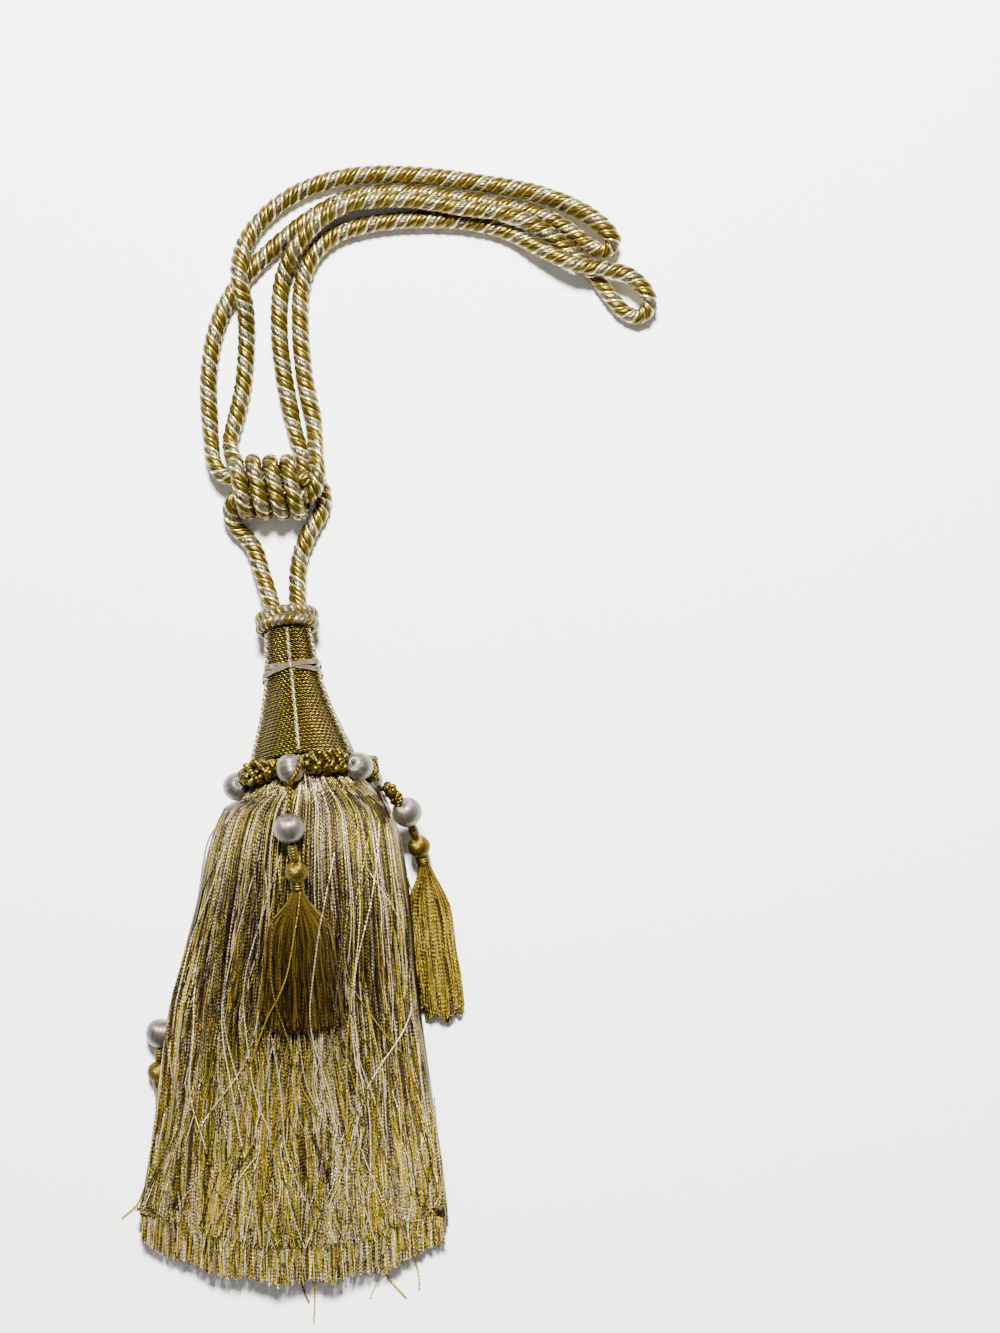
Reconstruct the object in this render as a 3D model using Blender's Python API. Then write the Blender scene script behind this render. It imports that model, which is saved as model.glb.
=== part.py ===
"""Curtain tieback tassel: a rope of two loops and a wrapped knot, on a beaded tassel.

The tieback lies on its back on a flat surface. X runs across it, +Y towards the
rope loops and +Z up. Sizes in this script are millimetres; meshes are in metres.
"""

import math
import random

import bmesh
import bpy
from mathutils import Vector

MM = 0.001

# ---------------------------------------------------------------- driving sizes
ROPE_RADIUS = 3.7          # over the crests of the three plies
ROPE_VALLEY = 2.5          # down between two plies
ROPE_LAY = 13.0            # length of one full turn of the plies
ROPE_RING_STEP = 3.0       # spacing of the rope's cross-sections
PULLED_TIGHT = 0.92        # the rope is this much thinner in the knot and the folds

HEAD_TOP = Vector((-4.9, 138.0, 12.95))
HEAD_AXIS = Vector((0.129, -0.957, 0.261)).normalized()
HEAD_PROFILE = (           # distance down the axis, radius of the wound wood
    (0.0, 9.0), (5.0, 9.4), (8.6, 10.0), (15.0, 10.6), (20.0, 10.9), (24.0, 11.6),
    (31.0, 13.0), (41.5, 15.7), (52.0, 19.3), (57.0, 21.1), (61.0, 22.3), (62.8, 22.8),
)
HEAD_SIDES = 20

RIB_COUNT = 6
RIB_RADIUS = 0.65
RIB_SPAN = (6.2, 61.0)     # distances down the head between which a rib runs
CLEARANCE = 0.35           # air left between two pieces that touch

COLLAR_BORE = 9.8
COLLAR_RADIUS = 12.9
COLLAR_HALF_HEIGHT = 4.7
COLLAR_PLAITS = 9

BAND_PLACE = 22.5          # distance down the head of the crossing of the bands
BAND_WIDTH = 2.6
BAND_THICKNESS = 0.45
BAND_TILT = math.radians(10.0)

RUFF_PLACE = 70.5          # distance down the head of the beaded ring
RUFF_RADIUS = 29.0
GIMP_RADIUS = 5.4
RUFF_BEAD_RADIUS = 6.0
BEAD_RADIUS = 6.45         # the beads that hang
BEAD_ANGLES = (163.0, 98.0, 36.0, -25.0, -62.0, -116.0)

SKIRT_PLACE = 63.15        # distance down the head at which the skirt's backing starts
SKIRT_BACKING = 4.0
SKIRT_ROOT_RADIUS = 21.5
SKIRT_COLUMNS = 18
SKIRT_ROWS = 6
SKIRT_CROWN = 0.62         # how much lower the skirt's sides are than its middle

# One line for each station down the skirt: y, left edge, right edge, height of the
# middle, underside, and how far the left side is held up by the tassel under it.
SKIRT_STATIONS = (
    (48.0, -34.0, 41.6, 57.0, 4.0, 4.5),
    (20.0, -40.0, 47.2, 52.0, 0.0, 9.5),
    (-22.0, -46.8, 49.6, 36.0, 0.0, 15.0),
    (-75.0, -59.4, 58.4, 24.0, 0.0, 12.0),
    (-135.0, -70.6, 64.5, 17.0, 0.0, 0.0),
)
HEM_MIDDLE = -145.5
HEM_RISE_AT_SIDES = 18.0
HEM_ROW_STEP = 3.6

# ---------------------------------------------------------------- the rope's route
# Every point is (x, y, z). The rope leaves the head, passes through the knot, makes
# the first loop, wraps the knot, makes the second loop and goes back to the head.
LEG_OUT = (
    (-9.5, 138.5, 12.6), (-16.0, 158.5, 6.2), (-20.5, 171.0, 3.9),
)
KNOT_PASS_OUT = (
    (-28.0, 179.5, 5.2), (-29.6, 185.0, 7.6), (-28.6, 189.2, 9.9), (-24.4, 191.4, 10.75),
    (-11.0, 191.9, 10.75), (-1.5, 191.9, 10.75), (3.8, 191.7, 11.9), (7.2, 194.2, 15.2),
    (8.2, 199.8, 16.8), (7.6, 205.8, 13.8), (6.9, 212.0, 9.8), (6.3, 219.0, 5.6),
)
FIRST_LOOP_OUT = (
    (5.4, 226.0, 3.9), (2.0, 242.5, 3.8), (0.0, 265.5, 3.8), (1.0, 283.5, 3.8),
    (5.5, 295.0, 3.8), (14.5, 303.5, 3.8), (30.0, 308.5, 3.8), (55.5, 310.5, 3.8),
    (75.0, 309.0, 3.8),
)
FIRST_FOLD = (
    (90.0, 304.5, 4.2), (105.0, 296.0, 8.6), (117.0, 290.5, 11.8), (130.5, 288.5, 10.9),
    (141.0, 285.5, 10.7), (147.5, 279.5, 9.4), (149.5, 273.5, 7.0), (145.5, 269.0, 4.8),
    (139.5, 270.5, 3.8), (133.5, 277.0, 3.8), (127.5, 285.0, 3.6), (118.5, 294.5, 3.7),
    (111.5, 300.5, 6.2), (104.0, 305.5, 9.0), (90.0, 311.5, 10.9),
)
FIRST_LOOP_BACK = (
    (73.0, 314.0, 10.7), (44.0, 318.0, 10.3), (21.5, 316.0, 10.9), (10.0, 310.0, 10.8),
    (2.0, 302.0, 9.8), (-4.0, 293.5, 6.8), (-8.0, 282.5, 4.0), (-9.0, 263.5, 3.8),
    (-7.0, 244.0, 3.8), (-4.0, 228.0, 3.8),
)
WRAP_START = (
    (-3.2, 224.0, 3.8), (-1.4, 217.0, 3.5), (0.4, 211.5, 3.4),
)
WRAP_END = (
    (-28.6, 209.9, 8.0), (-30.0, 215.0, 4.9),
)
SECOND_LOOP_OUT = (
    (-28.5, 221.5, 3.8), (-24.5, 239.5, 3.8), (-23.0, 259.0, 4.0), (-23.0, 272.0, 8.2),
    (-25.0, 282.0, 11.7), (-25.5, 290.5, 10.4), (-23.5, 300.0, 6.0), (-17.0, 310.0, 3.8),
    (-4.0, 320.5, 3.8), (13.0, 327.5, 3.8), (31.0, 330.0, 3.8), (51.5, 329.5, 3.8),
    (76.0, 326.5, 3.8), (98.5, 322.5, 4.6), (113.5, 317.0, 7.6), (124.0, 311.0, 10.4),
    (130.5, 305.5, 10.8),
)
SECOND_FOLD = (
    (134.0, 300.5, 8.6), (130.5, 297.0, 5.4), (124.0, 299.5, 3.7), (116.5, 305.5, 3.5),
    (105.0, 312.0, 3.5), (90.0, 316.0, 3.5),
)
SECOND_LOOP_BACK = (
    (76.0, 318.0, 3.8), (55.5, 321.0, 3.8), (36.5, 322.0, 3.8), (20.5, 319.5, 3.8),
    (5.0, 311.5, 3.8), (-8.5, 301.0, 3.8), (-20.5, 289.5, 3.8), (-30.0, 277.5, 3.8),
    (-36.2, 263.0, 3.8), (-39.2, 244.0, 3.8), (-38.9, 227.0, 3.8),
)
KNOT_PASS_BACK = (
    (-38.2, 217.0, 3.9), (-37.6, 210.5, 5.0), (-36.0, 204.8, 7.4), (-32.8, 200.9, 9.8),
    (-27.0, 199.2, 10.7), (-12.0, 199.1, 10.75), (-1.0, 199.1, 10.8), (5.0, 198.9, 10.0),
    (9.0, 196.4, 7.2), (10.2, 191.6, 4.4), (9.2, 185.5, 3.7),
)
LEG_BACK = (
    (4.0, 176.5, 3.8), (-0.5, 164.0, 4.4), (-0.4, 139.6, 12.6),
)

WRAP_TURNS = 3.88
WRAP_LEFT = -27.0
WRAP_PITCH = 7.3
WRAP_SLANT = 0.11          # how far, in turns, the front of a wrap runs ahead
WRAP_CENTRE = (195.5, 10.75)
WRAP_STRAIGHT = 3.6        # half the flat stretch over the two core strands
WRAP_RADIUS = 7.3
WRAP_STEPS = 14            # route points for each turn

# ---------------------------------------------------------------- finishes
GOLD = ((0.46, 0.30, 0.035, 1.0), 0.38)
OLIVE_GOLD = ((0.50, 0.37, 0.14, 1.0), 0.42)
CREAM = ((0.72, 0.64, 0.52, 1.0), 0.36)
ROPE_MIX = ((0.60, 0.47, 0.24, 1.0), 0.42)


def remove_start_objects():
    """Empties the scene."""
    for thing in list(bpy.data.objects):
        bpy.data.objects.remove(thing, do_unlink=True)


def make_material(name, finish):
    """Makes one thread material."""
    colour, roughness = finish
    material = bpy.data.materials.new(name)
    material.use_nodes = True
    shader = material.node_tree.nodes["Principled BSDF"]
    shader.inputs["Base Color"].default_value = colour
    shader.inputs["Roughness"].default_value = roughness
    shader.inputs["Metallic"].default_value = 0.0
    material.diffuse_color = colour
    return material


def add_solid(name, points, faces, material, parent):
    """Makes a closed object from points in millimetres."""
    mesh = bpy.data.meshes.new(name)
    mesh.from_pydata([tuple(Vector(p) * MM) for p in points], [], faces)
    solid = bmesh.new()
    solid.from_mesh(mesh)
    bmesh.ops.recalc_face_normals(solid, faces=solid.faces)
    bmesh.ops.triangulate(solid, faces=solid.faces)
    solid.to_mesh(mesh)
    solid.free()
    mesh.materials.append(material)
    thing = bpy.data.objects.new(name, mesh)
    thing.parent = parent
    bpy.context.scene.collection.objects.link(thing)
    return thing


def loft(rings):
    """Joins equal rings of points into a closed skin with flat ends."""
    count = len(rings[0])
    points = [p for ring in rings for p in ring]
    faces = [tuple(range(count))]
    for k in range(len(rings) - 1):
        for i in range(count):
            j = (i + 1) % count
            faces.append((k * count + i, k * count + j,
                          (k + 1) * count + j, (k + 1) * count + i))
    last = (len(rings) - 1) * count
    faces.append(tuple(last + i for i in reversed(range(count))))
    return points, faces


def closed_loft(rings):
    """Joins equal rings of points into a closed ring-shaped skin."""
    count = len(rings[0])
    total = len(rings)
    points = [p for ring in rings for p in ring]
    faces = []
    for k in range(total):
        n = (k + 1) % total
        for i in range(count):
            j = (i + 1) % count
            faces.append((k * count + i, k * count + j, n * count + j, n * count + i))
    return points, faces


def mix(a, b, share):
    """Value between a and b."""
    return a + (b - a) * share


def smooth(share):
    """Eases a share between 0 and 1."""
    share = min(1.0, max(0.0, share))
    return share * share * (3.0 - 2.0 * share)


# ---------------------------------------------------------------- smooth curves
def smooth_route(points, step):
    """Runs a centripetal Catmull-Rom curve through points of any length."""
    ends = [2.0 * points[0] - points[1]] + list(points) + [2.0 * points[-1] - points[-2]]
    curve = []
    for k in range(len(points) - 1):
        a, b, c, d = ends[k:k + 4]
        t1 = max((b - a).length, 1e-6) ** 0.5
        t2 = t1 + max((c - b).length, 1e-6) ** 0.5
        t3 = t2 + max((d - c).length, 1e-6) ** 0.5
        pieces = max(2, math.ceil((c - b).length / step))
        for n in range(pieces):
            t = mix(t1, t2, n / pieces)
            ab = mix(a, b, t / t1)
            bc = mix(b, c, (t - t1) / (t2 - t1))
            cd = mix(c, d, (t - t2) / (t3 - t2))
            abc = mix(ab, bc, t / t2)
            bcd = mix(bc, cd, (t - t1) / (t3 - t1))
            curve.append(mix(abc, bcd, (t - t1) / (t2 - t1)))
    curve.append(points[-1].copy())
    return curve


def even_spaced(curve, step):
    """Spaces points evenly along a fine curve."""
    lengths = [0.0]
    for a, b in zip(curve, curve[1:]):
        lengths.append(lengths[-1] + (b - a).length)
    count = max(2, round(lengths[-1] / step))
    spaced = []
    k = 0
    for n in range(count + 1):
        target = lengths[-1] * n / count
        while k < len(curve) - 2 and lengths[k + 1] < target:
            k += 1
        span = max(lengths[k + 1] - lengths[k], 1e-9)
        spaced.append(mix(curve[k], curve[k + 1], (target - lengths[k]) / span))
    return spaced, lengths[-1]


def across_frames(points, first_side):
    """Gives two directions across a path at each of its points, without twist."""
    frames = []
    side = Vector(first_side[:3])
    for k in range(len(points)):
        ahead = points[min(k + 1, len(points) - 1)] - points[max(k - 1, 0)]
        ahead = Vector(ahead[:3]).normalized()
        side = (side - ahead * side.dot(ahead)).normalized()
        frames.append((side.copy(), ahead.cross(side)))
    return frames


# ---------------------------------------------------------------- rope
def wrap_point(turns):
    """Gives a point on the wraps, which run round the two core strands."""
    whole = math.floor(turns)
    share = turns - whole
    straight = 2.0 * WRAP_STRAIGHT
    quarter = math.pi * WRAP_RADIUS / 2.0
    run = share * (2.0 * straight + 4.0 * quarter)
    if run < quarter:
        y = WRAP_STRAIGHT + WRAP_RADIUS * math.cos(run / WRAP_RADIUS)
        z = WRAP_RADIUS * math.sin(run / WRAP_RADIUS)
    elif run < quarter + straight:
        y = WRAP_STRAIGHT - (run - quarter)
        z = WRAP_RADIUS
    elif run < 3.0 * quarter + straight:
        angle = (run - quarter - straight) / WRAP_RADIUS
        y = -WRAP_STRAIGHT - WRAP_RADIUS * math.sin(angle)
        z = WRAP_RADIUS * math.cos(angle)
    elif run < 3.0 * quarter + 2.0 * straight:
        y = -WRAP_STRAIGHT + (run - 3.0 * quarter - straight)
        z = -WRAP_RADIUS
    else:
        angle = (run - 3.0 * quarter - 2.0 * straight) / WRAP_RADIUS
        y = WRAP_STRAIGHT + WRAP_RADIUS * math.sin(angle)
        z = -WRAP_RADIUS * math.cos(angle)
    lead = share + WRAP_SLANT * (1.0 - math.cos(2.0 * math.pi * share))
    x = WRAP_LEFT + WRAP_PITCH * (whole + lead)
    return (x, WRAP_CENTRE[0] + y, WRAP_CENTRE[1] + z)


def wrap_route():
    """Gives the wraps' points from the right end of the knot to the left."""
    count = math.floor(WRAP_TURNS * WRAP_STEPS)
    return [wrap_point(n / WRAP_STEPS) for n in reversed(range(count + 1))]


def rope_route():
    """Gives the whole rope's centreline, with its thickness as a fourth value."""
    stretches = (
        (LEG_OUT, 1.0), (KNOT_PASS_OUT, PULLED_TIGHT), (FIRST_LOOP_OUT, 1.0),
        (FIRST_FOLD, PULLED_TIGHT), (FIRST_LOOP_BACK, 1.0), (WRAP_START, PULLED_TIGHT),
        (wrap_route(), PULLED_TIGHT), (WRAP_END, PULLED_TIGHT), (SECOND_LOOP_OUT, 1.0),
        (SECOND_FOLD, PULLED_TIGHT), (SECOND_LOOP_BACK, 1.0),
        (KNOT_PASS_BACK, PULLED_TIGHT), (LEG_BACK, 1.0),
    )
    points = []
    for stretch, thickness in stretches:
        points += [Vector((*p, thickness)) for p in stretch]
    return smooth_route(points, 1.0)


def rope_ring(centre, frame, turn):
    """Gives one cross-section of the rope: three crests and three valleys."""
    side, up = frame
    thickness = centre[3]
    middle = Vector(centre[:3])
    middle.z = max(middle.z, ROPE_RADIUS * thickness + 0.05)
    ring = []
    for k in range(6):
        radius = (ROPE_RADIUS if k % 2 == 0 else ROPE_VALLEY) * thickness
        angle = turn + k * math.pi / 3.0
        ring.append(middle + side * (radius * math.cos(angle))
                    + up * (radius * math.sin(angle)))
    return ring


def build_rope(material, parent):
    """Builds the rope as one twisted solid."""
    spaced, length = even_spaced(rope_route(), ROPE_RING_STEP)
    frames = across_frames(spaced, (1.0, 0.0, 0.0))
    step = length / (len(spaced) - 1)
    rings = []
    for k, (centre, frame) in enumerate(zip(spaced, frames)):
        turn = -2.0 * math.pi * k * step / ROPE_LAY
        rings.append(rope_ring(centre, frame, turn))
    points, faces = loft(rings)
    return add_solid("rope", points, faces, material, parent)


# ---------------------------------------------------------------- head
def head_frame():
    """Gives the directions across the head's axis: to the right, and up."""
    right = Vector((1.0, 0.0, 0.0))
    right = (right - HEAD_AXIS * right.dot(HEAD_AXIS)).normalized()
    up = right.cross(HEAD_AXIS)
    return right, up if up.z > 0.0 else -up


def head_point(place, radius, angle):
    """Gives a point beside the head's axis; 90 degrees is on top."""
    right, up = head_frame()
    return (HEAD_TOP + HEAD_AXIS * place
            + right * (radius * math.cos(angle)) + up * (radius * math.sin(angle)))


def head_radius(place):
    """Gives the head's radius at a distance down its axis."""
    for (a, ra), (b, rb) in zip(HEAD_PROFILE, HEAD_PROFILE[1:]):
        if place <= b:
            return mix(ra, rb, (place - a) / (b - a))
    return HEAD_PROFILE[-1][1]


def build_head(material, parent):
    """Builds the flared head, wound with thread."""
    rings = []
    for place, radius in HEAD_PROFILE:
        rings.append([head_point(place, radius, 2.0 * math.pi * k / HEAD_SIDES)
                      for k in range(HEAD_SIDES)])
    points, faces = loft(rings)
    return add_solid("head", points, faces, material, parent)


def build_ribs(material, parent):
    """Builds the twisted cords laid down the head."""
    places = [RIB_SPAN[0] + (RIB_SPAN[1] - RIB_SPAN[0]) * k / 6 for k in range(7)]
    sides = 5
    for n in range(RIB_COUNT):
        around = math.pi / 2.0 + 2.0 * math.pi * n / RIB_COUNT
        rings = []
        for place in places:
            out = head_radius(place) + CLEARANCE + RIB_RADIUS + 0.15
            centre = head_point(place, out, around)
            outward = (centre - head_point(place, 0.0, 0.0)).normalized()
            across = outward.cross(HEAD_AXIS)
            ring = []
            for k in range(sides):
                angle = 2.0 * math.pi * k / sides
                ring.append(centre + outward * (RIB_RADIUS * math.cos(angle))
                            + across * (RIB_RADIUS * math.sin(angle)))
            rings.append(ring)
        points, faces = loft(rings)
        add_solid(f"rib_{n + 1}", points, faces, material, parent)


def build_neck_band(name, tilt, level, material, parent):
    """Builds one flat strand round the head's neck."""
    inner = head_radius(BAND_PLACE) + 2.0 * (CLEARANCE + RIB_RADIUS) + 0.7
    inner += level * (BAND_THICKNESS + CLEARANCE)
    outer = inner + BAND_THICKNESS
    rings = []
    for k in range(18):
        around = 2.0 * math.pi * k / 18
        place = BAND_PLACE + inner * math.tan(tilt) * math.cos(around)
        low = place - BAND_WIDTH / 2.0
        high = place + BAND_WIDTH / 2.0
        rings.append([head_point(low, inner, around), head_point(low, outer, around),
                      head_point(high, outer, around), head_point(high, inner, around)])
    points, faces = closed_loft(rings)
    add_solid(name, points, faces, material, parent)


def build_collar(material, parent):
    """Builds the plaited ring round the top of the head."""
    rings = []
    steps = COLLAR_PLAITS * 2
    half = COLLAR_HALF_HEIGHT
    for k in range(steps):
        around = 2.0 * math.pi * k / steps
        bulge = 0.0 if k % 2 == 0 else -0.9
        lift = 0.0 if k % 2 == 0 else 0.5
        outer = COLLAR_RADIUS + bulge
        rings.append([head_point(half - 1.0, COLLAR_BORE, around),
                      head_point(-half + 1.0, COLLAR_BORE, around),
                      head_point(-half + lift, COLLAR_BORE + 1.7, around),
                      head_point(-2.2, outer, around),
                      head_point(2.2, outer, around),
                      head_point(half - lift, COLLAR_BORE + 1.7, around)])
    points, faces = closed_loft(rings)
    add_solid("collar", points, faces, material, parent)


# ---------------------------------------------------------------- beads and gimp
def build_bead(name, centre, radius, axis, material, parent):
    """Builds one bead, wrapped with thread from end to end of its axis."""
    axis = Vector(axis).normalized()
    side = axis.orthogonal().normalized()
    up = axis.cross(side)
    rings = []
    for k in range(1, 7):
        tilt = math.pi * k / 7
        ring = []
        for n in range(10):
            angle = 2.0 * math.pi * n / 10
            ring.append(centre + axis * (radius * math.cos(tilt))
                        + (side * math.cos(angle) + up * math.sin(angle))
                        * (radius * math.sin(tilt)))
        rings.append(ring)
    points, faces = loft(rings)
    add_solid(name, points, faces, material, parent)


def ruff_point(angle, radius=RUFF_RADIUS):
    """Gives a point on the beaded ring."""
    return head_point(RUFF_PLACE, radius, angle)


def build_gimp(name, start, end, radius, thickness, material, parent):
    """Builds a knotted length of gimp between two beads of the ring."""
    rings = []
    steps = 7
    sides = 6
    for k in range(steps + 1):
        share = k / steps
        angle = mix(start, end, share)
        centre = ruff_point(angle, radius)
        outward = (centre - head_point(RUFF_PLACE, 0.0, 0.0)).normalized()
        size = thickness * (0.62 if k in (0, steps) else (1.0 if k % 2 else 0.84))
        ring = []
        for n in range(sides):
            turn = 2.0 * math.pi * n / sides + 0.5 * k
            ring.append(centre + outward * (size * math.cos(turn))
                        + HEAD_AXIS * (size * math.sin(turn)))
        rings.append(ring)
    points, faces = loft(rings)
    add_solid(name, points, faces, material, parent)


def build_ruff(gold, cream, parent):
    """Builds the ring of beads and gimp round the head's foot."""
    reach = (RUFF_BEAD_RADIUS + 0.5) / (2.0 * RUFF_RADIUS)
    bead_share = math.degrees(2.0 * math.asin(reach))
    turns = list(BEAD_ANGLES) + [BEAD_ANGLES[0] - 360.0]
    for k, angle in enumerate(BEAD_ANGLES):
        around = math.radians(angle)
        centre = ruff_point(around)
        along = ruff_point(around + 0.05) - ruff_point(around - 0.05)
        build_bead(f"bead_{k + 1}", centre, RUFF_BEAD_RADIUS, along, cream, parent)
        start = math.radians(turns[k] - bead_share)
        end = math.radians(turns[k + 1] + bead_share)
        lowest = math.sin((start + end) / 2.0) < -0.8
        radius = RUFF_RADIUS - 2.3 if lowest else RUFF_RADIUS
        thickness = GIMP_RADIUS * (0.8 if lowest else 1.0)
        tight = abs(end - start) < 0.2
        build_gimp(f"gimp_{k + 1}", start, end, radius,
                   thickness * (0.8 if tight else 1.0), gold, parent)


# ---------------------------------------------------------------- thread bundles
class Bundle:
    """A backing disc with locks of thread that grow from it without touching.

    The disc is a grid of cells, columns by rows. Each cell carries one four-sided
    lock, and a section function places the lock's four corners at each station.
    """

    def __init__(self, columns, rows, origin, right, up, radius):
        self.columns = columns
        self.rows = rows
        self.origin = origin
        self.right = right
        self.up = up
        self.radius = radius
        self.points = []
        self.faces = []

    def place(self, point):
        """Stores a point and gives its number."""
        self.points.append(point)
        return len(self.points) - 1

    @staticmethod
    def disc(u, v):
        """Maps a square of -1 to 1 onto a disc."""
        return u * math.sqrt(1.0 - v * v / 2.0), v * math.sqrt(1.0 - u * u / 2.0)

    def on_disc(self, u, v, scale=1.0, ahead=None):
        """Gives a point on the backing's face, or on a disc ahead of it."""
        x, z = self.disc(u, v)
        centre = self.origin if ahead is None else ahead
        reach = self.radius * scale
        return centre + self.right * (x * reach) + self.up * (z * reach)

    def cell_corners(self, i, j, inset):
        """Gives a cell's corners in the square, drawn in towards its middle."""
        middle_u = (2 * i + 1) / self.columns - 1.0
        middle_v = (2 * j + 1) / self.rows - 1.0
        half_u = (1.0 - inset) / self.columns
        half_v = (1.0 - inset) / self.rows
        return ((middle_u - half_u, middle_v - half_v),
                (middle_u + half_u, middle_v - half_v),
                (middle_u + half_u, middle_v + half_v),
                (middle_u - half_u, middle_v + half_v))

    def build_locks(self, sections):
        """Builds the face of the backing and every lock on it."""
        corner = {}
        for i in range(self.columns + 1):
            for j in range(self.rows + 1):
                u = 2.0 * i / self.columns - 1.0
                v = 2.0 * j / self.rows - 1.0
                corner[i, j] = self.place(self.on_disc(u, v))
        for i in range(self.columns):
            for j in range(self.rows):
                ring = [corner[i, j], corner[i + 1, j],
                        corner[i + 1, j + 1], corner[i, j + 1]]
                root = [self.place(self.on_disc(u, v))
                        for u, v in self.cell_corners(i, j, 0.3)]
                self.join(ring, root)
                for section in sections(i, j):
                    tip = [self.place(p) for p in section]
                    self.join(root, tip)
                    root = tip
                self.faces.append(tuple(root))
        return corner

    def join(self, ring, next_ring):
        """Joins two rings of four points."""
        for k in range(4):
            n = (k + 1) % 4
            self.faces.append((ring[k], ring[n], next_ring[n], next_ring[k]))

    def build_back(self, corner, back_rings):
        """Closes the backing behind its face through (distance, radius) rings."""
        outline = [(i, 0) for i in range(self.columns)]
        outline += [(self.columns, j) for j in range(self.rows)]
        outline += [(i, self.rows) for i in range(self.columns, 0, -1)]
        outline += [(0, j) for j in range(self.rows, 0, -1)]
        backward = self.right.cross(self.up)
        backward = backward if backward.y > 0.0 else -backward
        ring = [corner[place] for place in outline]
        for distance, radius in back_rings:
            centre = self.origin + backward * distance
            next_ring = []
            for i, j in outline:
                u = 2.0 * i / self.columns - 1.0
                v = 2.0 * j / self.rows - 1.0
                next_ring.append(self.place(
                    self.on_disc(u, v, radius / self.radius, centre)))
            for k in range(len(ring)):
                n = (k + 1) % len(ring)
                self.faces.append((ring[k], ring[n], next_ring[n], next_ring[k]))
            ring = next_ring
        self.faces.append(tuple(ring))


def lens_section(left, right, low, high, u, v, half_u, half_v, y):
    """Gives a lock's four corners in an upright section of a flattened bundle."""
    middle = mix(left, right, (u + 1.0) / 2.0)
    half_width = (right - left) / 2.0 * half_u
    height = high - low
    air = min(0.35, height * half_v * 0.25)
    bottom = low + height * (v - half_v + 1.0) / 2.0
    top = low + height * (v + half_v + 1.0) / 2.0 - air
    return (Vector((middle - half_width, y, bottom)),
            Vector((middle + half_width, y, bottom)),
            Vector((middle + half_width, y, top)),
            Vector((middle - half_width, y, top)))


def skirt_shape(y):
    """Gives the skirt's edges, height, underside and left lift at a place along it."""
    if y >= SKIRT_STATIONS[0][0]:
        return SKIRT_STATIONS[0][1:]
    for a, b in zip(SKIRT_STATIONS, SKIRT_STATIONS[1:]):
        if y >= b[0]:
            share = (a[0] - y) / (a[0] - b[0])
            return tuple(mix(p, q, share) for p, q in zip(a[1:], b[1:]))
    a, b = SKIRT_STATIONS[-2:]
    share = (a[0] - y) / (a[0] - b[0])
    shape = [mix(p, q, share) for p, q in zip(a[1:], b[1:])]
    shape[4] = 0.0
    return tuple(shape)


def skirt_limits(y, u):
    """Gives the skirt's underside and top at a place across it."""
    left, right, height, underside, lift = skirt_shape(y)
    low = underside + lift * smooth((-u - 0.35) / 0.3)
    high = height * (1.0 - SKIRT_CROWN * u * u)
    return low, max(high, low + 7.5)


def skirt_top(x, y):
    """Gives the height of the skirt's upper side."""
    left, right = skirt_shape(y)[:2]
    u = 2.0 * (x - left) / (right - left) - 1.0
    return skirt_limits(y, min(1.0, max(-1.0, u)))[1]


def build_skirt(material, parent):
    """Builds the main skirt: a hidden backing and its locks of thread."""
    chance = random.Random(11)
    right, up = head_frame()
    face = SKIRT_PLACE + SKIRT_BACKING
    bundle = Bundle(SKIRT_COLUMNS, SKIRT_ROWS, head_point(face, 0.0, 0.0), right, up,
                    SKIRT_ROOT_RADIUS)
    out_of_ruff = head_point(face + 13.0, 0.0, 0.0)

    def sections(i, j):
        u = (2 * i + 1) / SKIRT_COLUMNS - 1.0
        v = (2 * j + 1) / SKIRT_ROWS - 1.0
        stagger = (0.10 if j % 2 else -0.10) * 2.0 / SKIRT_COLUMNS
        sway = chance.uniform(-0.05, 0.05) * 2.0 / SKIRT_COLUMNS
        ragged = chance.uniform(-3.0, 3.0)
        corners = bundle.cell_corners(i, j, 0.3)
        result = [[bundle.on_disc(a, b, 1.2, out_of_ruff) for a, b in corners]]
        for k, station in enumerate(SKIRT_STATIONS):
            y = station[0]
            if k == len(SKIRT_STATIONS) - 1:
                y = HEM_MIDDLE + HEM_RISE_AT_SIDES * abs(u) ** 2.2
                y += HEM_ROW_STEP * j + ragged
            left, right_edge = skirt_shape(y)[:2]
            low, high = skirt_limits(y, u)
            ease = min(1.0, (k + 1) / 3.0)
            result.append(lens_section(
                left, right_edge, low, high, u + (stagger + sway) * ease, v,
                0.66 / SKIRT_COLUMNS, 1.0 / SKIRT_ROWS, y))
        return result

    corner = bundle.build_locks(sections)
    bundle.build_back(corner, ((SKIRT_BACKING, SKIRT_ROOT_RADIUS),))
    add_solid("skirt", bundle.points, bundle.faces, material, parent)


# ---------------------------------------------------------------- drops
class Drop:
    """A small tassel on a cord with a bead: where it hangs and how it lies."""

    def __init__(self, name, bead, ball, neck_end, skirt_end, end_half, end_height):
        self.name = name
        self.bead = Vector(bead)
        self.ball = Vector(ball)
        self.neck_end = Vector(neck_end)
        self.skirt_end = Vector(skirt_end)
        self.end_half = end_half
        self.end_height = end_height


DROP_BALL_RADIUS = 4.6
DROP_NECK_RADIUS = 2.6
DROP_CORD_RADIUS = 1.1
DROP_GIMP_RADIUS = 2.7     # the gimp that carries the right drop
DROP_STUB_RADIUS = 2.0

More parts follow.
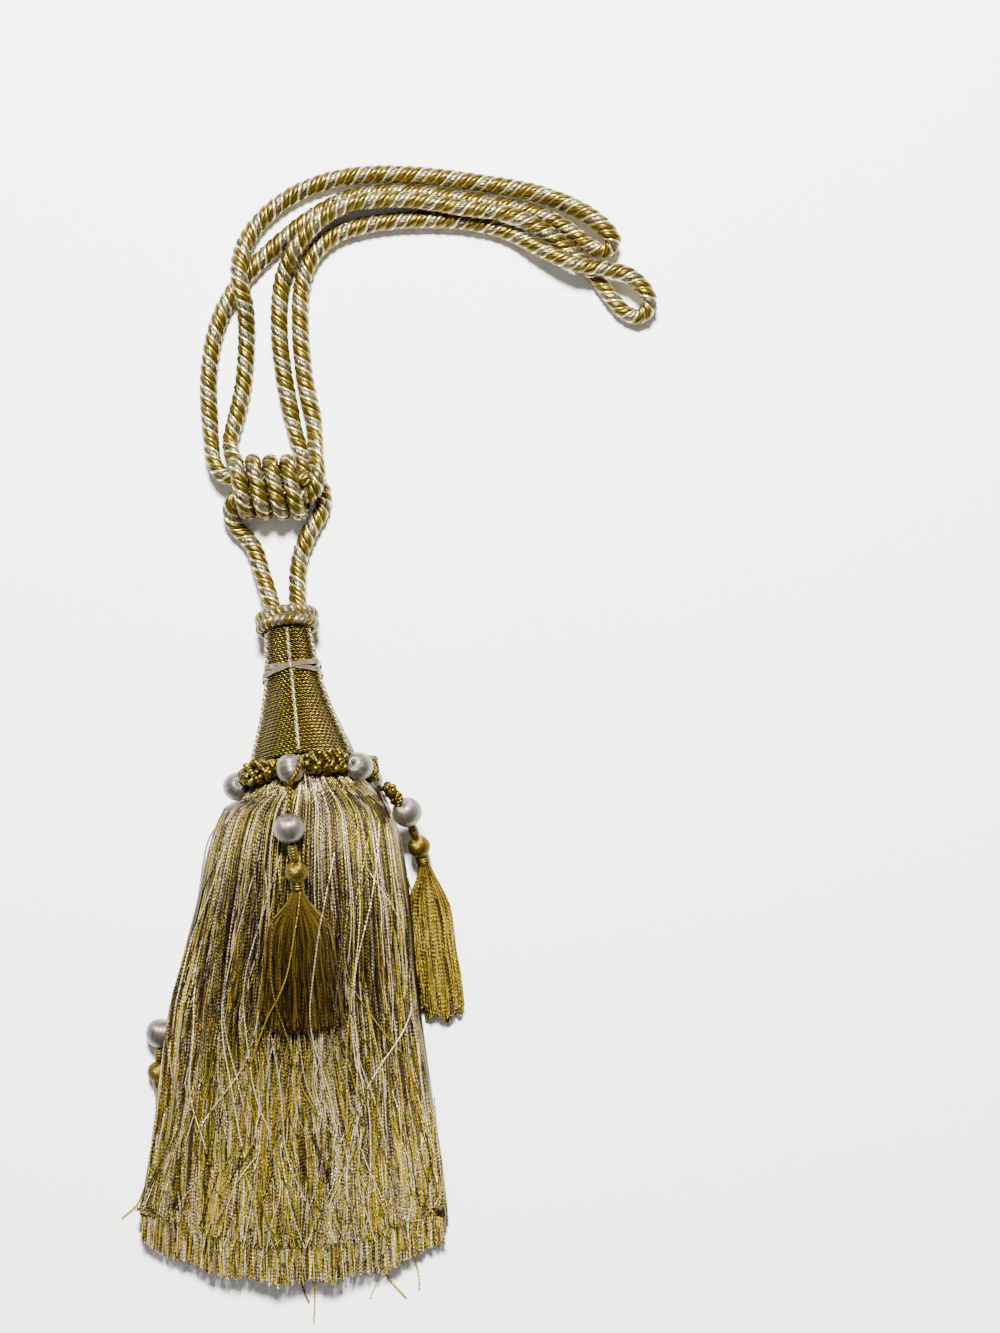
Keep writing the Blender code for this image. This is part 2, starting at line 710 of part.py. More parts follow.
FRONT_DROP = Drop("drop_front", (0.2, 53.6, 64.6), (3.0, 35.6, 61.2), (3.2, 29.2, 58.6),
                  (3.0, -33.0, 0.0), 17.6, 6.0)
RIGHT_DROP = Drop("drop_right", (46.4, 57.6, 21.0), (51.2, 42.6, 12.4), (52.8, 36.4, 9.4),
                  (61.2, -31.0, 0.0), 8.6, 8.5)
LEFT_DROP = Drop("drop_left", (-59.4, -37.6, 6.6), (-60.6, -54.4, 5.2), (-59.8, -60.8, 4.6),
                 (-55.5, -103.0, 0.0), 6.0, 5.4)


def build_tube(name, route, radii, sides, material, parent):
    """Builds a round solid along a short path."""
    route = [Vector(p) for p in route]
    frames = across_frames(route, (1.0, 0.0, 0.1))
    rings = []
    for centre, (side, up), radius in zip(route, frames, radii):
        rings.append([centre + side * (radius * math.cos(2.0 * math.pi * k / sides))
                      + up * (radius * math.sin(2.0 * math.pi * k / sides))
                      for k in range(sides)])
    points, faces = loft(rings)
    add_solid(name, points, faces, material, parent)


def build_stub(drop, material, parent):
    """Builds the knotted stub between a drop's bead and its ball."""
    along = (drop.ball - drop.bead).normalized()
    start = drop.bead + along * (BEAD_RADIUS + CLEARANCE)
    end = drop.ball - along * (DROP_BALL_RADIUS + CLEARANCE)
    route = [mix(start, end, share) for share in (0.0, 0.3, 0.7, 1.0)]
    radii = [DROP_STUB_RADIUS * size for size in (0.6, 1.1, 1.1, 0.6)]
    build_tube(f"{drop.name}_stub", route, radii, 6, material, parent)


def build_drop_tassel(drop, on_skirt, material, parent):
    """Builds a drop's ball, neck and small skirt as one solid."""
    columns, rows = 5, 4
    axis = (drop.neck_end - drop.ball).normalized()
    right = Vector((1.0, 0.0, 0.0))
    right = (right - axis * right.dot(axis)).normalized()
    up = right.cross(axis)
    up = up if up.z > 0.0 else -up
    bundle = Bundle(columns, rows, drop.neck_end, right, up, DROP_NECK_RADIUS)
    along = drop.skirt_end - drop.neck_end

    def floor(x, y):
        return skirt_top(x, y) + 0.9 if on_skirt else 0.0

    def sections(i, j):
        u = (2 * i + 1) / columns - 1.0
        v = (2 * j + 1) / rows - 1.0
        result = []
        for share, spread, thick in ((0.3, 0.56, 1.15), (1.0, 1.0, 1.0)):
            reach = drop.end_half * spread
            centre = drop.neck_end + along * share
            y = centre.y + (4.0 * u * u + 0.9 * j) * share
            x = centre.x + reach * u
            low = floor(x, y)
            rounding = 1.0 - 0.35 * u * u
            result.append(lens_section(
                centre.x - reach, centre.x + reach, low,
                low + drop.end_height * thick * rounding, u, v,
                0.72 / columns, 1.0 / rows, y))
        return result

    corner = bundle.build_locks(sections)
    distance = (drop.neck_end - drop.ball).length
    ball = DROP_BALL_RADIUS
    bundle.build_back(corner, (
        (distance - 0.86 * ball, 0.5 * ball), (distance - 0.35 * ball, 0.93 * ball),
        (distance + 0.3 * ball, 0.95 * ball), (distance + 0.85 * ball, 0.52 * ball)))
    add_solid(f"{drop.name}_tassel", bundle.points, bundle.faces, material, parent)


def build_drops(gold, cream, parent):
    """Builds the three drops that hang from the ruff."""
    for drop in (FRONT_DROP, RIGHT_DROP, LEFT_DROP):
        build_bead(f"{drop.name}_bead", drop.bead, BEAD_RADIUS,
                   drop.ball - drop.bead, cream, parent)
        build_stub(drop, gold, parent)
        build_drop_tassel(drop, drop is FRONT_DROP, gold, parent)
    thin, thick = DROP_CORD_RADIUS, DROP_GIMP_RADIUS
    build_tube("drop_front_cord",
               [(0.2, 71.4, 60.6), (0.2, 66.0, 62.4), (0.2, 60.3, 63.1)],
               (thin, thin, thin), 6, gold, parent)
    build_tube("drop_right_cord",
               [(37.5, 69.3, 29.5), (39.6, 67.2, 28.0), (42.8, 62.3, 24.4)],
               (thick, thick, 0.8 * thick), 8, gold, parent)
    build_tube("drop_left_cord",
               [(-21.5, 60.4, 10.4), (-26.0, 54.0, 4.5), (-32.0, 32.0, 1.6),
                (-37.0, 6.0, 1.6), (-45.0, -15.0, 2.6), (-55.1, -32.0, 5.6)],
               (thin, thin, thin, thin, thin, thin), 6, gold, parent)


# ---------------------------------------------------------------- whole tieback
def build_tieback():
    """Builds every piece on one parent."""
    remove_start_objects()
    root = bpy.data.objects.new("tieback", None)
    bpy.context.scene.collection.objects.link(root)
    gold = make_material("gold_thread", GOLD)
    olive = make_material("skirt_thread", OLIVE_GOLD)
    cream = make_material("cream_silk", CREAM)
    rope = make_material("rope_thread", ROPE_MIX)
    build_rope(rope, root)
    build_collar(olive, root)
    build_head(gold, root)
    build_ribs(cream, root)
    build_neck_band("neck_band_under", BAND_TILT, 0, cream, root)
    build_neck_band("neck_band_over", -BAND_TILT, 1, cream, root)
    build_ruff(gold, cream, root)
    build_skirt(olive, root)
    build_drops(gold, cream, root)


build_tieback()
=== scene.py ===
"""Dresses a curtain tieback tassel: plied rope, wound head, beaded ruff and thread skirts.

Lengths in this script are millimetres along the frame's own axes; meshes are in metres.
"""

from __future__ import annotations

import logging
import math
from collections.abc import Callable, Sequence
from dataclasses import dataclass, field
from enum import Enum

import bpy
import numpy as np
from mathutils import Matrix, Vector

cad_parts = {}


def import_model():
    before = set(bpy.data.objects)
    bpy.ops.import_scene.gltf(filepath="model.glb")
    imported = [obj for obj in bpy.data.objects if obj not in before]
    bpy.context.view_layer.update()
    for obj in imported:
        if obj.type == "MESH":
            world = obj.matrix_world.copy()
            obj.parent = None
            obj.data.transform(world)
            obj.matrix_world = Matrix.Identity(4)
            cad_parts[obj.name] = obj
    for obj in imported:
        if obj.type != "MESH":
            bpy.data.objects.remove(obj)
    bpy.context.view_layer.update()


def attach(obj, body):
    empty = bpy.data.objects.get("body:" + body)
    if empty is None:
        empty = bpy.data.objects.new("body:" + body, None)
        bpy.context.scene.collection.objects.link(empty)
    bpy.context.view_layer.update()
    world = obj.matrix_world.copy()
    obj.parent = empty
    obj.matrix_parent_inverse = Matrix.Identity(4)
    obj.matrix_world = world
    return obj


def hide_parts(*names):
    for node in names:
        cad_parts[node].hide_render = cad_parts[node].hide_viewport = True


LOG = logging.getLogger("tieback")
MM = 0.001
BODY = "root"
Array = np.ndarray
Colour = tuple[float, float, float]


# ================================================================ shader expressions
class Signal:
    """A shader socket that can be used in Python arithmetic."""

    def __init__(self, graph: "ShaderGraph", socket: bpy.types.NodeSocket) -> None:
        """Wraps a socket.

        Args:
            graph: The graph that owns the socket.
            socket: An output socket with a value.
        """
        self.graph = graph
        self.socket = socket

    def _math(self, operation: str, first: "Signal | float", second: "Signal | float") -> "Signal":
        """Adds a Math node and gives its value."""
        node = self.graph.node("ShaderNodeMath", {"operation": operation}, {0: first, 1: second})
        return Signal(self.graph, node.outputs[0])

    def __add__(self, other: "Signal | float") -> "Signal":
        """Adds a value."""
        return self._math("ADD", self, other)

    def __radd__(self, other: float) -> "Signal":
        """Adds to a number."""
        return self._math("ADD", other, self)

    def __sub__(self, other: "Signal | float") -> "Signal":
        """Takes a value away."""
        return self._math("SUBTRACT", self, other)

    def __rsub__(self, other: float) -> "Signal":
        """Takes this from a number."""
        return self._math("SUBTRACT", other, self)

    def __mul__(self, other: "Signal | float") -> "Signal":
        """Multiplies by a value."""
        return self._math("MULTIPLY", self, other)

    def __rmul__(self, other: float) -> "Signal":
        """Multiplies a number."""
        return self._math("MULTIPLY", other, self)

    def size(self) -> "Signal":
        """Gives the value without its sign."""
        return self._math("ABSOLUTE", self, 0.0)

    def fraction(self) -> "Signal":
        """Gives what is left above the whole number."""
        return self._math("FRACT", self, 0.0)

    def whole(self) -> "Signal":
        """Gives the whole number below this value."""
        return self - self.fraction()

    def sine(self) -> "Signal":
        """Gives the sine of this value."""
        return self._math("SINE", self, 0.0)


class ShaderGraph:
    """One material and the nodes that make its finish."""

    def __init__(self, name: str) -> None:
        """Starts a material.

        Args:
            name: The material's name.
        """
        self.material = bpy.data.materials.new(name)
        self.material.use_nodes = True
        self.tree = self.material.node_tree
        self.shader = self.tree.nodes["Principled BSDF"]

    def node(self, kind: str, settings: dict[str, object] | None = None,
             inputs: dict[int | str, object] | None = None) -> bpy.types.Node:
        """Adds any node.

        Args:
            kind: The node's type.
            settings: Properties that are set first.
            inputs: Values or signals for its sockets.

        Returns:
            The new node.
        """
        made = self.tree.nodes.new(kind)
        for key, value in (settings or {}).items():
            setattr(made, key, value)
        for key, value in (inputs or {}).items():
            self.feed(made.inputs[key], value)
        return made

    def feed(self, socket: bpy.types.NodeSocket, value: object) -> None:
        """Links a signal to a socket, or sets the socket's value.

        Args:
            socket: An input socket.
            value: A signal, number, vector or colour.
        """
        if isinstance(value, Signal):
            self.tree.links.new(value.socket, socket)
        elif isinstance(value, tuple) and socket.type == "RGBA":
            socket.default_value = (*value[:3], 1.0)
        else:
            socket.default_value = value

    def trait(self, name: str) -> Signal:
        """Reads a value that the mesh carries on its points."""
        node = self.node("ShaderNodeAttribute", {"attribute_name": name})
        return Signal(self, node.outputs["Fac"])

    def noise(self, scale: float) -> Signal:
        """Gives a soft random value that changes with the place.

        Args:
            scale: How fine the changes are.

        Returns:
            The value, between 0 and 1.
        """
        place = Signal(self, self.node("ShaderNodeTexCoord").outputs["Object"])
        node = self.node("ShaderNodeTexNoise", {"noise_dimensions": "3D"},
                         {"Vector": place, "Scale": scale, "Detail": 2.0})
        return Signal(self, node.outputs["Fac"])

    def own_chance(self, number: Signal) -> Signal:
        """Gives each whole number its own random value between 0 and 1."""
        node = self.node("ShaderNodeTexWhiteNoise", {"noise_dimensions": "1D"},
                         {"W": number})
        return Signal(self, node.outputs["Value"])

    def mixed(self, share: Signal | float, first: object, second: object) -> Signal:
        """Mixes two colours; the share says how much of the second one shows."""
        node = self.node("ShaderNodeMix", {"data_type": "RGBA", "clamp_factor": True},
                         {0: share, 6: first, 7: second})
        return Signal(self, node.outputs[2])

    def eased(self, value: Signal, low: float, high: float) -> Signal:
        """Spreads a range of values over 0 to 1, with soft ends."""
        node = self.node("ShaderNodeMapRange", {"interpolation_type": "SMOOTHSTEP"},
                         {"Value": value, "From Min": low, "From Max": high})
        return Signal(self, node.outputs["Result"])

    def bump(self, height: Signal, strength: float, distance: float) -> Signal:
        """Raises the surface in the shading only."""
        node = self.node("ShaderNodeBump", None,
                         {"Height": height, "Strength": strength, "Distance": distance})
        return Signal(self, node.outputs["Normal"])


# ================================================================ finishes
# What a thread's tone is mixed from: the mesh's own tone, slow drifts and a little light.
TONE_SHARE, DRIFT_SHARE, TONE_LIFT = 0.72, 0.24, 0.02
# Noise scales of the slow drifts of tone and of the sideways wandering of threads.
DRIFT_SCALE, WANDER_SCALE = 45.0, 70.0
# A ridge's middle height, which keeps the painted shade in the grooves from changing the mean
# tone.
RIDGE_MIDDLE = 0.62
# How much of a strand's twist shows as relief and as painted highlights and shade, and of the
# fibres as relief.
TWIST_RELIEF, TWIST_PAINTED_LIGHT, FIBRE_RELIEF = 0.5, 0.3, 0.5
# How far the twist of one thread may be ahead of the next one's, in turns.
TWIST_LEAD = 5.0
# What sets the pick of the mixed-in threads apart from the other picks, and its edge.
PICK_SHIFT, PICK_EDGE = 0.37, 0.01
# Gloss and relief that all the threads share.
ROUGHNESS_SWING, COAT_ROUGHNESS, SPECULAR_LEVEL, RELIEF_STRENGTH = 0.16, 0.22, 0.7, 0.85


@dataclass(frozen=True)
class ThreadFinish:
    """Glossy thread, whose colour follows a tone that each thread carries.

    Attributes:
        name: The material's name.
        deep: Colour of the darkest threads.
        light: Colour of the lightest threads.
        roughness: How matt the thread is.
        silk: How much it mirrors light as silk does.
        coat: How much smooth gloss lies over it.
        groove: Depth of the grooves between neighbouring turns or yarns.
        shade: How much painted shade darkens the grooves.
        strand: Depth of the thread's own twist, in relief and in painted highlights and shade.
        strand_length: Length of that twist, in millimetres.
        unrest: How uneven that twist is, in turns.
        slant: How far the twist leans across one turn.
        speckle: How much the fibres change the colour.
        variety: How much one thread's tone differs from the next one's.
        wander: How far threads stray sideways, in threads.
        second: Darkest and lightest colour of the threads mixed in.
        second_share: Share of those threads.
        fibre_scale: How fine the fibres are.
        depth: Height of a full groove, in metres.
    """

    name: str
    deep: Colour
    light: Colour
    roughness: float = 0.34
    silk: float = 0.82
    coat: float = 0.06
    groove: float = 0.0
    shade: float = 0.5
    strand: float = 0.5
    strand_length: float = 1.3
    unrest: float = 0.0
    slant: float = 1.0
    speckle: float = 0.3
    variety: float = 0.0
    wander: float = 0.0
    second: tuple[Colour, Colour] = ((0.1, 0.1, 0.1), (0.5, 0.5, 0.5))
    second_share: float = 0.0
    fibre_scale: float = 900.0
    depth: float = 0.00016

    def material(self) -> bpy.types.Material:
        """Makes the material.

        Returns:
            The thread's material.
        """
        graph = ShaderGraph(self.name)
        fibres = graph.noise(self.fibre_scale)
        lap = graph.trait("lap")
        if self.wander:
            lap = lap + (graph.noise(WANDER_SCALE) - 0.5) * self.wander
        tone, height = self.tone_and_height(graph, fibres, lap)
        inputs = graph.shader.inputs
        graph.feed(inputs["Base Color"], self.colour(graph, tone, lap))
        graph.feed(inputs["Roughness"],
                   fibres * ROUGHNESS_SWING + (self.roughness - ROUGHNESS_SWING / 2.0))
        graph.feed(inputs["Normal"], graph.bump(height, RELIEF_STRENGTH, self.depth))
        graph.feed(inputs["Metallic"], self.silk)
        graph.feed(inputs["Coat Weight"], self.coat)
        graph.feed(inputs["Coat Roughness"], COAT_ROUGHNESS)
        graph.feed(inputs["Specular IOR Level"], SPECULAR_LEVEL)
        return graph.material

    def tone_and_height(self, graph: ShaderGraph, fibres: Signal,
                        lap: Signal) -> tuple[Signal, Signal]:
        """Works out how light the thread is and how high it stands.

        Args:
            graph: The material's graph.
            fibres: The fibres' fine noise.
            lap: Turns or yarns counted across the surface.

        Returns:
            The tone, from 0 for deep to 1 for light, and the height of the relief.
        """
        tone = (graph.trait("tone") * TONE_SHARE + (fibres - 0.5) * self.speckle
                + graph.noise(DRIFT_SCALE) * DRIFT_SHARE + TONE_LIFT)
        height = fibres * (FIBRE_RELIEF * self.speckle)
        phase = 0.0
        if self.variety:
            own = graph.own_chance(lap.whole())
            tone = tone + (own - 0.5) * self.variety
            phase = own * TWIST_LEAD
        if self.groove:
            ridge = (lap * math.pi).sine().size()
            # Painted shade in the grooves between turns, with lighter tone on the ridges.
            tone = tone + (ridge - RIDGE_MIDDLE) * (self.shade * self.groove)
            height = height + ridge * self.groove
        if self.strand:
            turn = (graph.trait("arc") * (1.0 / self.strand_length)
                    + lap.fraction() * self.slant + phase + fibres * self.unrest)
            twist = (turn * (2.0 * math.pi)).sine()
            # Painted highlights and shade follow the twist.
            tone = tone + twist * (TWIST_PAINTED_LIGHT * self.strand)
            height = height + twist * (TWIST_RELIEF * self.strand)
        return tone, height

    def colour(self, graph: ShaderGraph, tone: Signal, lap: Signal) -> Signal:
        """Turns the tone into a colour, with other threads mixed in.

        Args:
            graph: The material's graph.
            tone: How light the thread is.
            lap: Turns or yarns counted across the surface.

        Returns:
            The colour.
        """
        share = graph.eased(tone, 0.0, 1.0)
        colour = graph.mixed(share, self.deep, self.light)
        if self.second_share:
            above = 1.0 - self.second_share
            chance = graph.own_chance(lap.whole() + PICK_SHIFT)
            picked = graph.eased(chance, above - PICK_EDGE, above)
            colour = graph.mixed(picked, colour, graph.mixed(share, *self.second))
        return colour


@dataclass(frozen=True)
class FloorFinish:
    """A plain pale studio floor."""

    colour: Colour = (0.94, 0.94, 0.94)
    shaded: float = 0.985
    grain_scale: float = 40.0
    roughness: float = 0.9

    def material(self) -> bpy.types.Material:
        """Makes the floor's material.

        Returns:
            The material.
        """
        graph = ShaderGraph("studio_floor")
        shade = tuple(self.shaded * value for value in self.colour)
        colour = graph.mixed(graph.noise(self.grain_scale), self.colour, shade)
        graph.feed(graph.shader.inputs["Base Color"], colour)
        graph.feed(graph.shader.inputs["Roughness"], self.roughness)
        return graph.material


def skirt_finish(name: str, deep: Colour, light: Colour, second: tuple[Colour, Colour],
                 second_share: float) -> ThreadFinish:
    """Gives a finish of the main skirt's loose threads.

    Args:
        name: The material's name.
        deep: Colour of the darkest threads.
        light: Colour of the lightest threads.
        second: Darkest and lightest colour of the threads mixed in.
        second_share: Share of those threads.

    Returns:
        The finish.
    """
    return ThreadFinish(name, deep, light, roughness=0.3, silk=0.74, groove=1.0, shade=0.45,
                        strand=1.0, strand_length=1.6, unrest=1.3, speckle=0.7, variety=0.75,
                        wander=1.0, second=second, second_share=second_share, depth=0.0002)


class Thread(Enum):
    """The threads that the tieback is made of."""

    HEAD_GOLD = ThreadFinish("head_gold", (0.005, 0.0024, 0.0001), (0.205, 0.147, 0.013),
                             roughness=0.3, silk=0.94, coat=0.0, groove=1.1, strand=1.7,
                             strand_length=2.1, unrest=0.25, slant=0.9, depth=0.0003)
    GIMP_GOLD = ThreadFinish("gimp_gold", (0.014, 0.008, 0.0003), (0.21, 0.147, 0.012),
                             roughness=0.36, silk=0.93, coat=0.0, strand=0.8)
    SKIRT_GOLD = skirt_finish("skirt_gold", (0.010, 0.005, 0.0002), (0.52, 0.385, 0.030),
                              ((0.050, 0.025, 0.008), (0.88, 0.74, 0.46)), 0.22)
    SKIRT_OLIVE = skirt_finish("skirt_olive", (0.010, 0.005, 0.0003), (0.30, 0.20, 0.024),
                               ((0.050, 0.025, 0.008), (0.62, 0.48, 0.28)), 0.35)
    SKIRT_CREAM = skirt_finish("skirt_cream", (0.050, 0.025, 0.008), (0.88, 0.74, 0.46),
                               ((0.010, 0.005, 0.0002), (0.52, 0.385, 0.030)), 0.3)
    DROP_AMBER = ThreadFinish("drop_amber", (0.022, 0.009, 0.0016), (0.27, 0.170, 0.022),
                              groove=0.9, strand=0.6, strand_length=1.7, unrest=0.8,
                              speckle=0.5, variety=0.9, wander=0.8)
    DROP_GOLD = ThreadFinish("drop_gold", (0.014, 0.007, 0.0003), (0.50, 0.36, 0.042),
                             groove=0.9, strand=0.9, strand_length=1.7, unrest=0.8,
                             speckle=0.7, variety=1.0, wander=0.8)
    ROPE_GOLD = ThreadFinish("rope_gold", (0.024, 0.015, 0.0006), (0.160, 0.109, 0.006),
                             groove=0.7, strand=0.4, strand_length=2.0)
    ROPE_MIXED = ThreadFinish("rope_mixed", (0.028, 0.022, 0.009), (0.23, 0.197, 0.105),
                              groove=0.7, strand=0.5, strand_length=1.6)
    ROPE_LINE = ThreadFinish("rope_line", (0.34, 0.24, 0.035), (0.82, 0.73, 0.36),
                             roughness=0.3, silk=0.9, coat=0.0, strand=0.3, strand_length=1.6)
    PLAIT_GREY = ThreadFinish("plait_grey", (0.110, 0.085, 0.040), (0.17, 0.139, 0.072),
                              groove=0.5, strand=0.5, strand_length=2.0)
    PLAIT_GOLD = ThreadFinish("plait_gold", (0.060, 0.038, 0.0030), (0.18, 0.121, 0.010),
                              groove=0.5, strand=0.5, strand_length=2.0)
    CREAM_SILK = ThreadFinish("cream_silk", (0.036, 0.028, 0.022), (0.21, 0.181, 0.149),
                              roughness=0.36, silk=0.85, coat=0.5, groove=0.7, shade=0.05,
                              strand=0.0, speckle=0.03, variety=0.15, depth=0.00008)
    CREAM_CORD = ThreadFinish("cream_cord", (0.04, 0.03, 0.010), (0.42, 0.36, 0.175))
    BAND_SILK = ThreadFinish("band_silk", (0.08, 0.064, 0.03), (0.40, 0.345, 0.22),
                             roughness=0.3, strand=0.0)


class Wardrobe:
    """Makes each thread's material once."""

    def __init__(self) -> None:
        """Starts with nothing made."""
        self._made: dict[Thread, bpy.types.Material] = {}

    def get(self, thread: Thread) -> bpy.types.Material:
        """Gives a thread's material.

        Args:
            thread: The thread.

        Returns:
            Its material, which is made the first time.
        """
        if thread not in self._made:
            self._made[thread] = thread.value.material()
        return self._made[thread]


# ================================================================ meshes from rings
def unit(vectors: Array) -> Array:
    """Makes vectors one unit long."""
    return vectors / np.maximum(np.linalg.norm(vectors, axis=-1, keepdims=True), 1e-9)


def across_frames(paths: Array, first_side: tuple[float, float, float]) -> tuple[Array, Array]:
    """Carries two directions along paths without twisting them.

    Args:
        paths: Points, as (paths, points, 3).
        first_side: Roughly where the first direction points.

    Returns:
        Both directions at each point.
    """
    ahead = unit(np.gradient(paths, axis=1))
    side = np.broadcast_to(np.array(first_side, float), paths[:, 0].shape)
    sides = np.empty_like(paths)
    for k in range(paths.shape[1]):
        along = ahead[:, k]
        side = unit(side - along * np.sum(side * along, axis=-1, keepdims=True))
        sides[:, k] = side
    return sides, np.cross(ahead, sides)


def beside(middle: Array, side: Array, up: Array, reach: Array | float,
           turn: Array | float) -> Array:
    """Gives points at a distance and an angle from a line.

    Args:
        middle: The line's points.
        side: Direction of angle 0 at each of them.
        up: Direction of a quarter turn.
        reach: Distance from the line.
        turn: Angle round it, in radians.

    Returns:
        The points.
    """
    return (middle + side * (reach * np.cos(turn))[..., None]
            + up * (reach * np.sin(turn))[..., None])


def full_turn(steps: int) -> Array:
    """Gives angles spaced evenly over one turn, without its end."""
    return np.arange(steps) * 2.0 * math.pi / steps


def rings_round(paths: Array, side: Array, up: Array, radius: Array | float, sides: int,
                twist: Array | float = 0.0, profile: Array | float = 1.0) -> Array:
    """Puts a ring of points round every point of some paths.

    Args:
        paths: Points, as (paths, points, 3).
        side: Direction of a ring's first point at each.
        up: Direction of a quarter turn.
        radius: Radius at each point, or one radius.
        sides: Points in a ring.
        twist: Turn of each ring, in radians.
        profile: Share of the radius at each side.

    Returns:
        Rings, as (paths, points, sides, 3).
    """
    turns = np.broadcast_to(twist, paths.shape[:2])[..., None] + full_turn(sides)
    reach = np.broadcast_to(radius, paths.shape[:2])[..., None] * profile
    return beside(paths[:, :, None], side[:, :, None], up[:, :, None], reach, turns)


def tube_rings(paths: Array, radius: Array | float, sides: int, twist: Array | float = 0.0,
               profile: Array | float = 1.0,
               first_side: tuple[float, float, float] = (1.0, 0.02, 0.1)) -> Array:
    """Puts rings round open paths, the first point of each roughly towards first_side."""
    side, up = across_frames(paths, first_side)
    return rings_round(paths, side, up, radius, sides, twist, profile)


@dataclass(frozen=True)
class Lock:
    """A flat lock of loose threads with a ragged end.

    Attributes:
        threads: Threads counted round it.
        flat: Its thickness, as a share of its width.
        ragged: How unevenly its threads end, in millimetres.
        sides: Points in a ring.
    """

    threads: int
    flat: float
    ragged: float
    sides: int = 8

    def rings(self, paths: Array, width: Array, lean: Array | float,
              chance: np.random.Generator) -> Array:
        """Puts flat rings round the paths of some locks.

        Args:
            paths: Points, as (locks, points, 3).
            width: Half the width at each point.
            lean: How far each ring leans, in radians.
            chance: Source of the ragged ends.

        Returns:
            Rings, as (locks, points, sides, 3).
        """
        angles = full_turn(self.sides)
        profile = 1.0 / np.sqrt(np.cos(angles) ** 2 + (np.sin(angles) / self.flat) ** 2)
        rings = tube_rings(paths, width, self.sides, lean, profile)
        rings[:, -1] += (unit(paths[:, -1] - paths[:, -2])[:, None]
                         * chance.normal(0.0, self.ragged, (len(paths), self.sides, 1)))
        keep_above(rings, 0.0)
        return rings

    def laps(self, count: int) -> Array:
        """Counts the threads round each lock, apart from those of the others."""
        return (self.threads * 3 * np.arange(count)[:, None, None]
                + yarns_across(self.sides, self.threads))


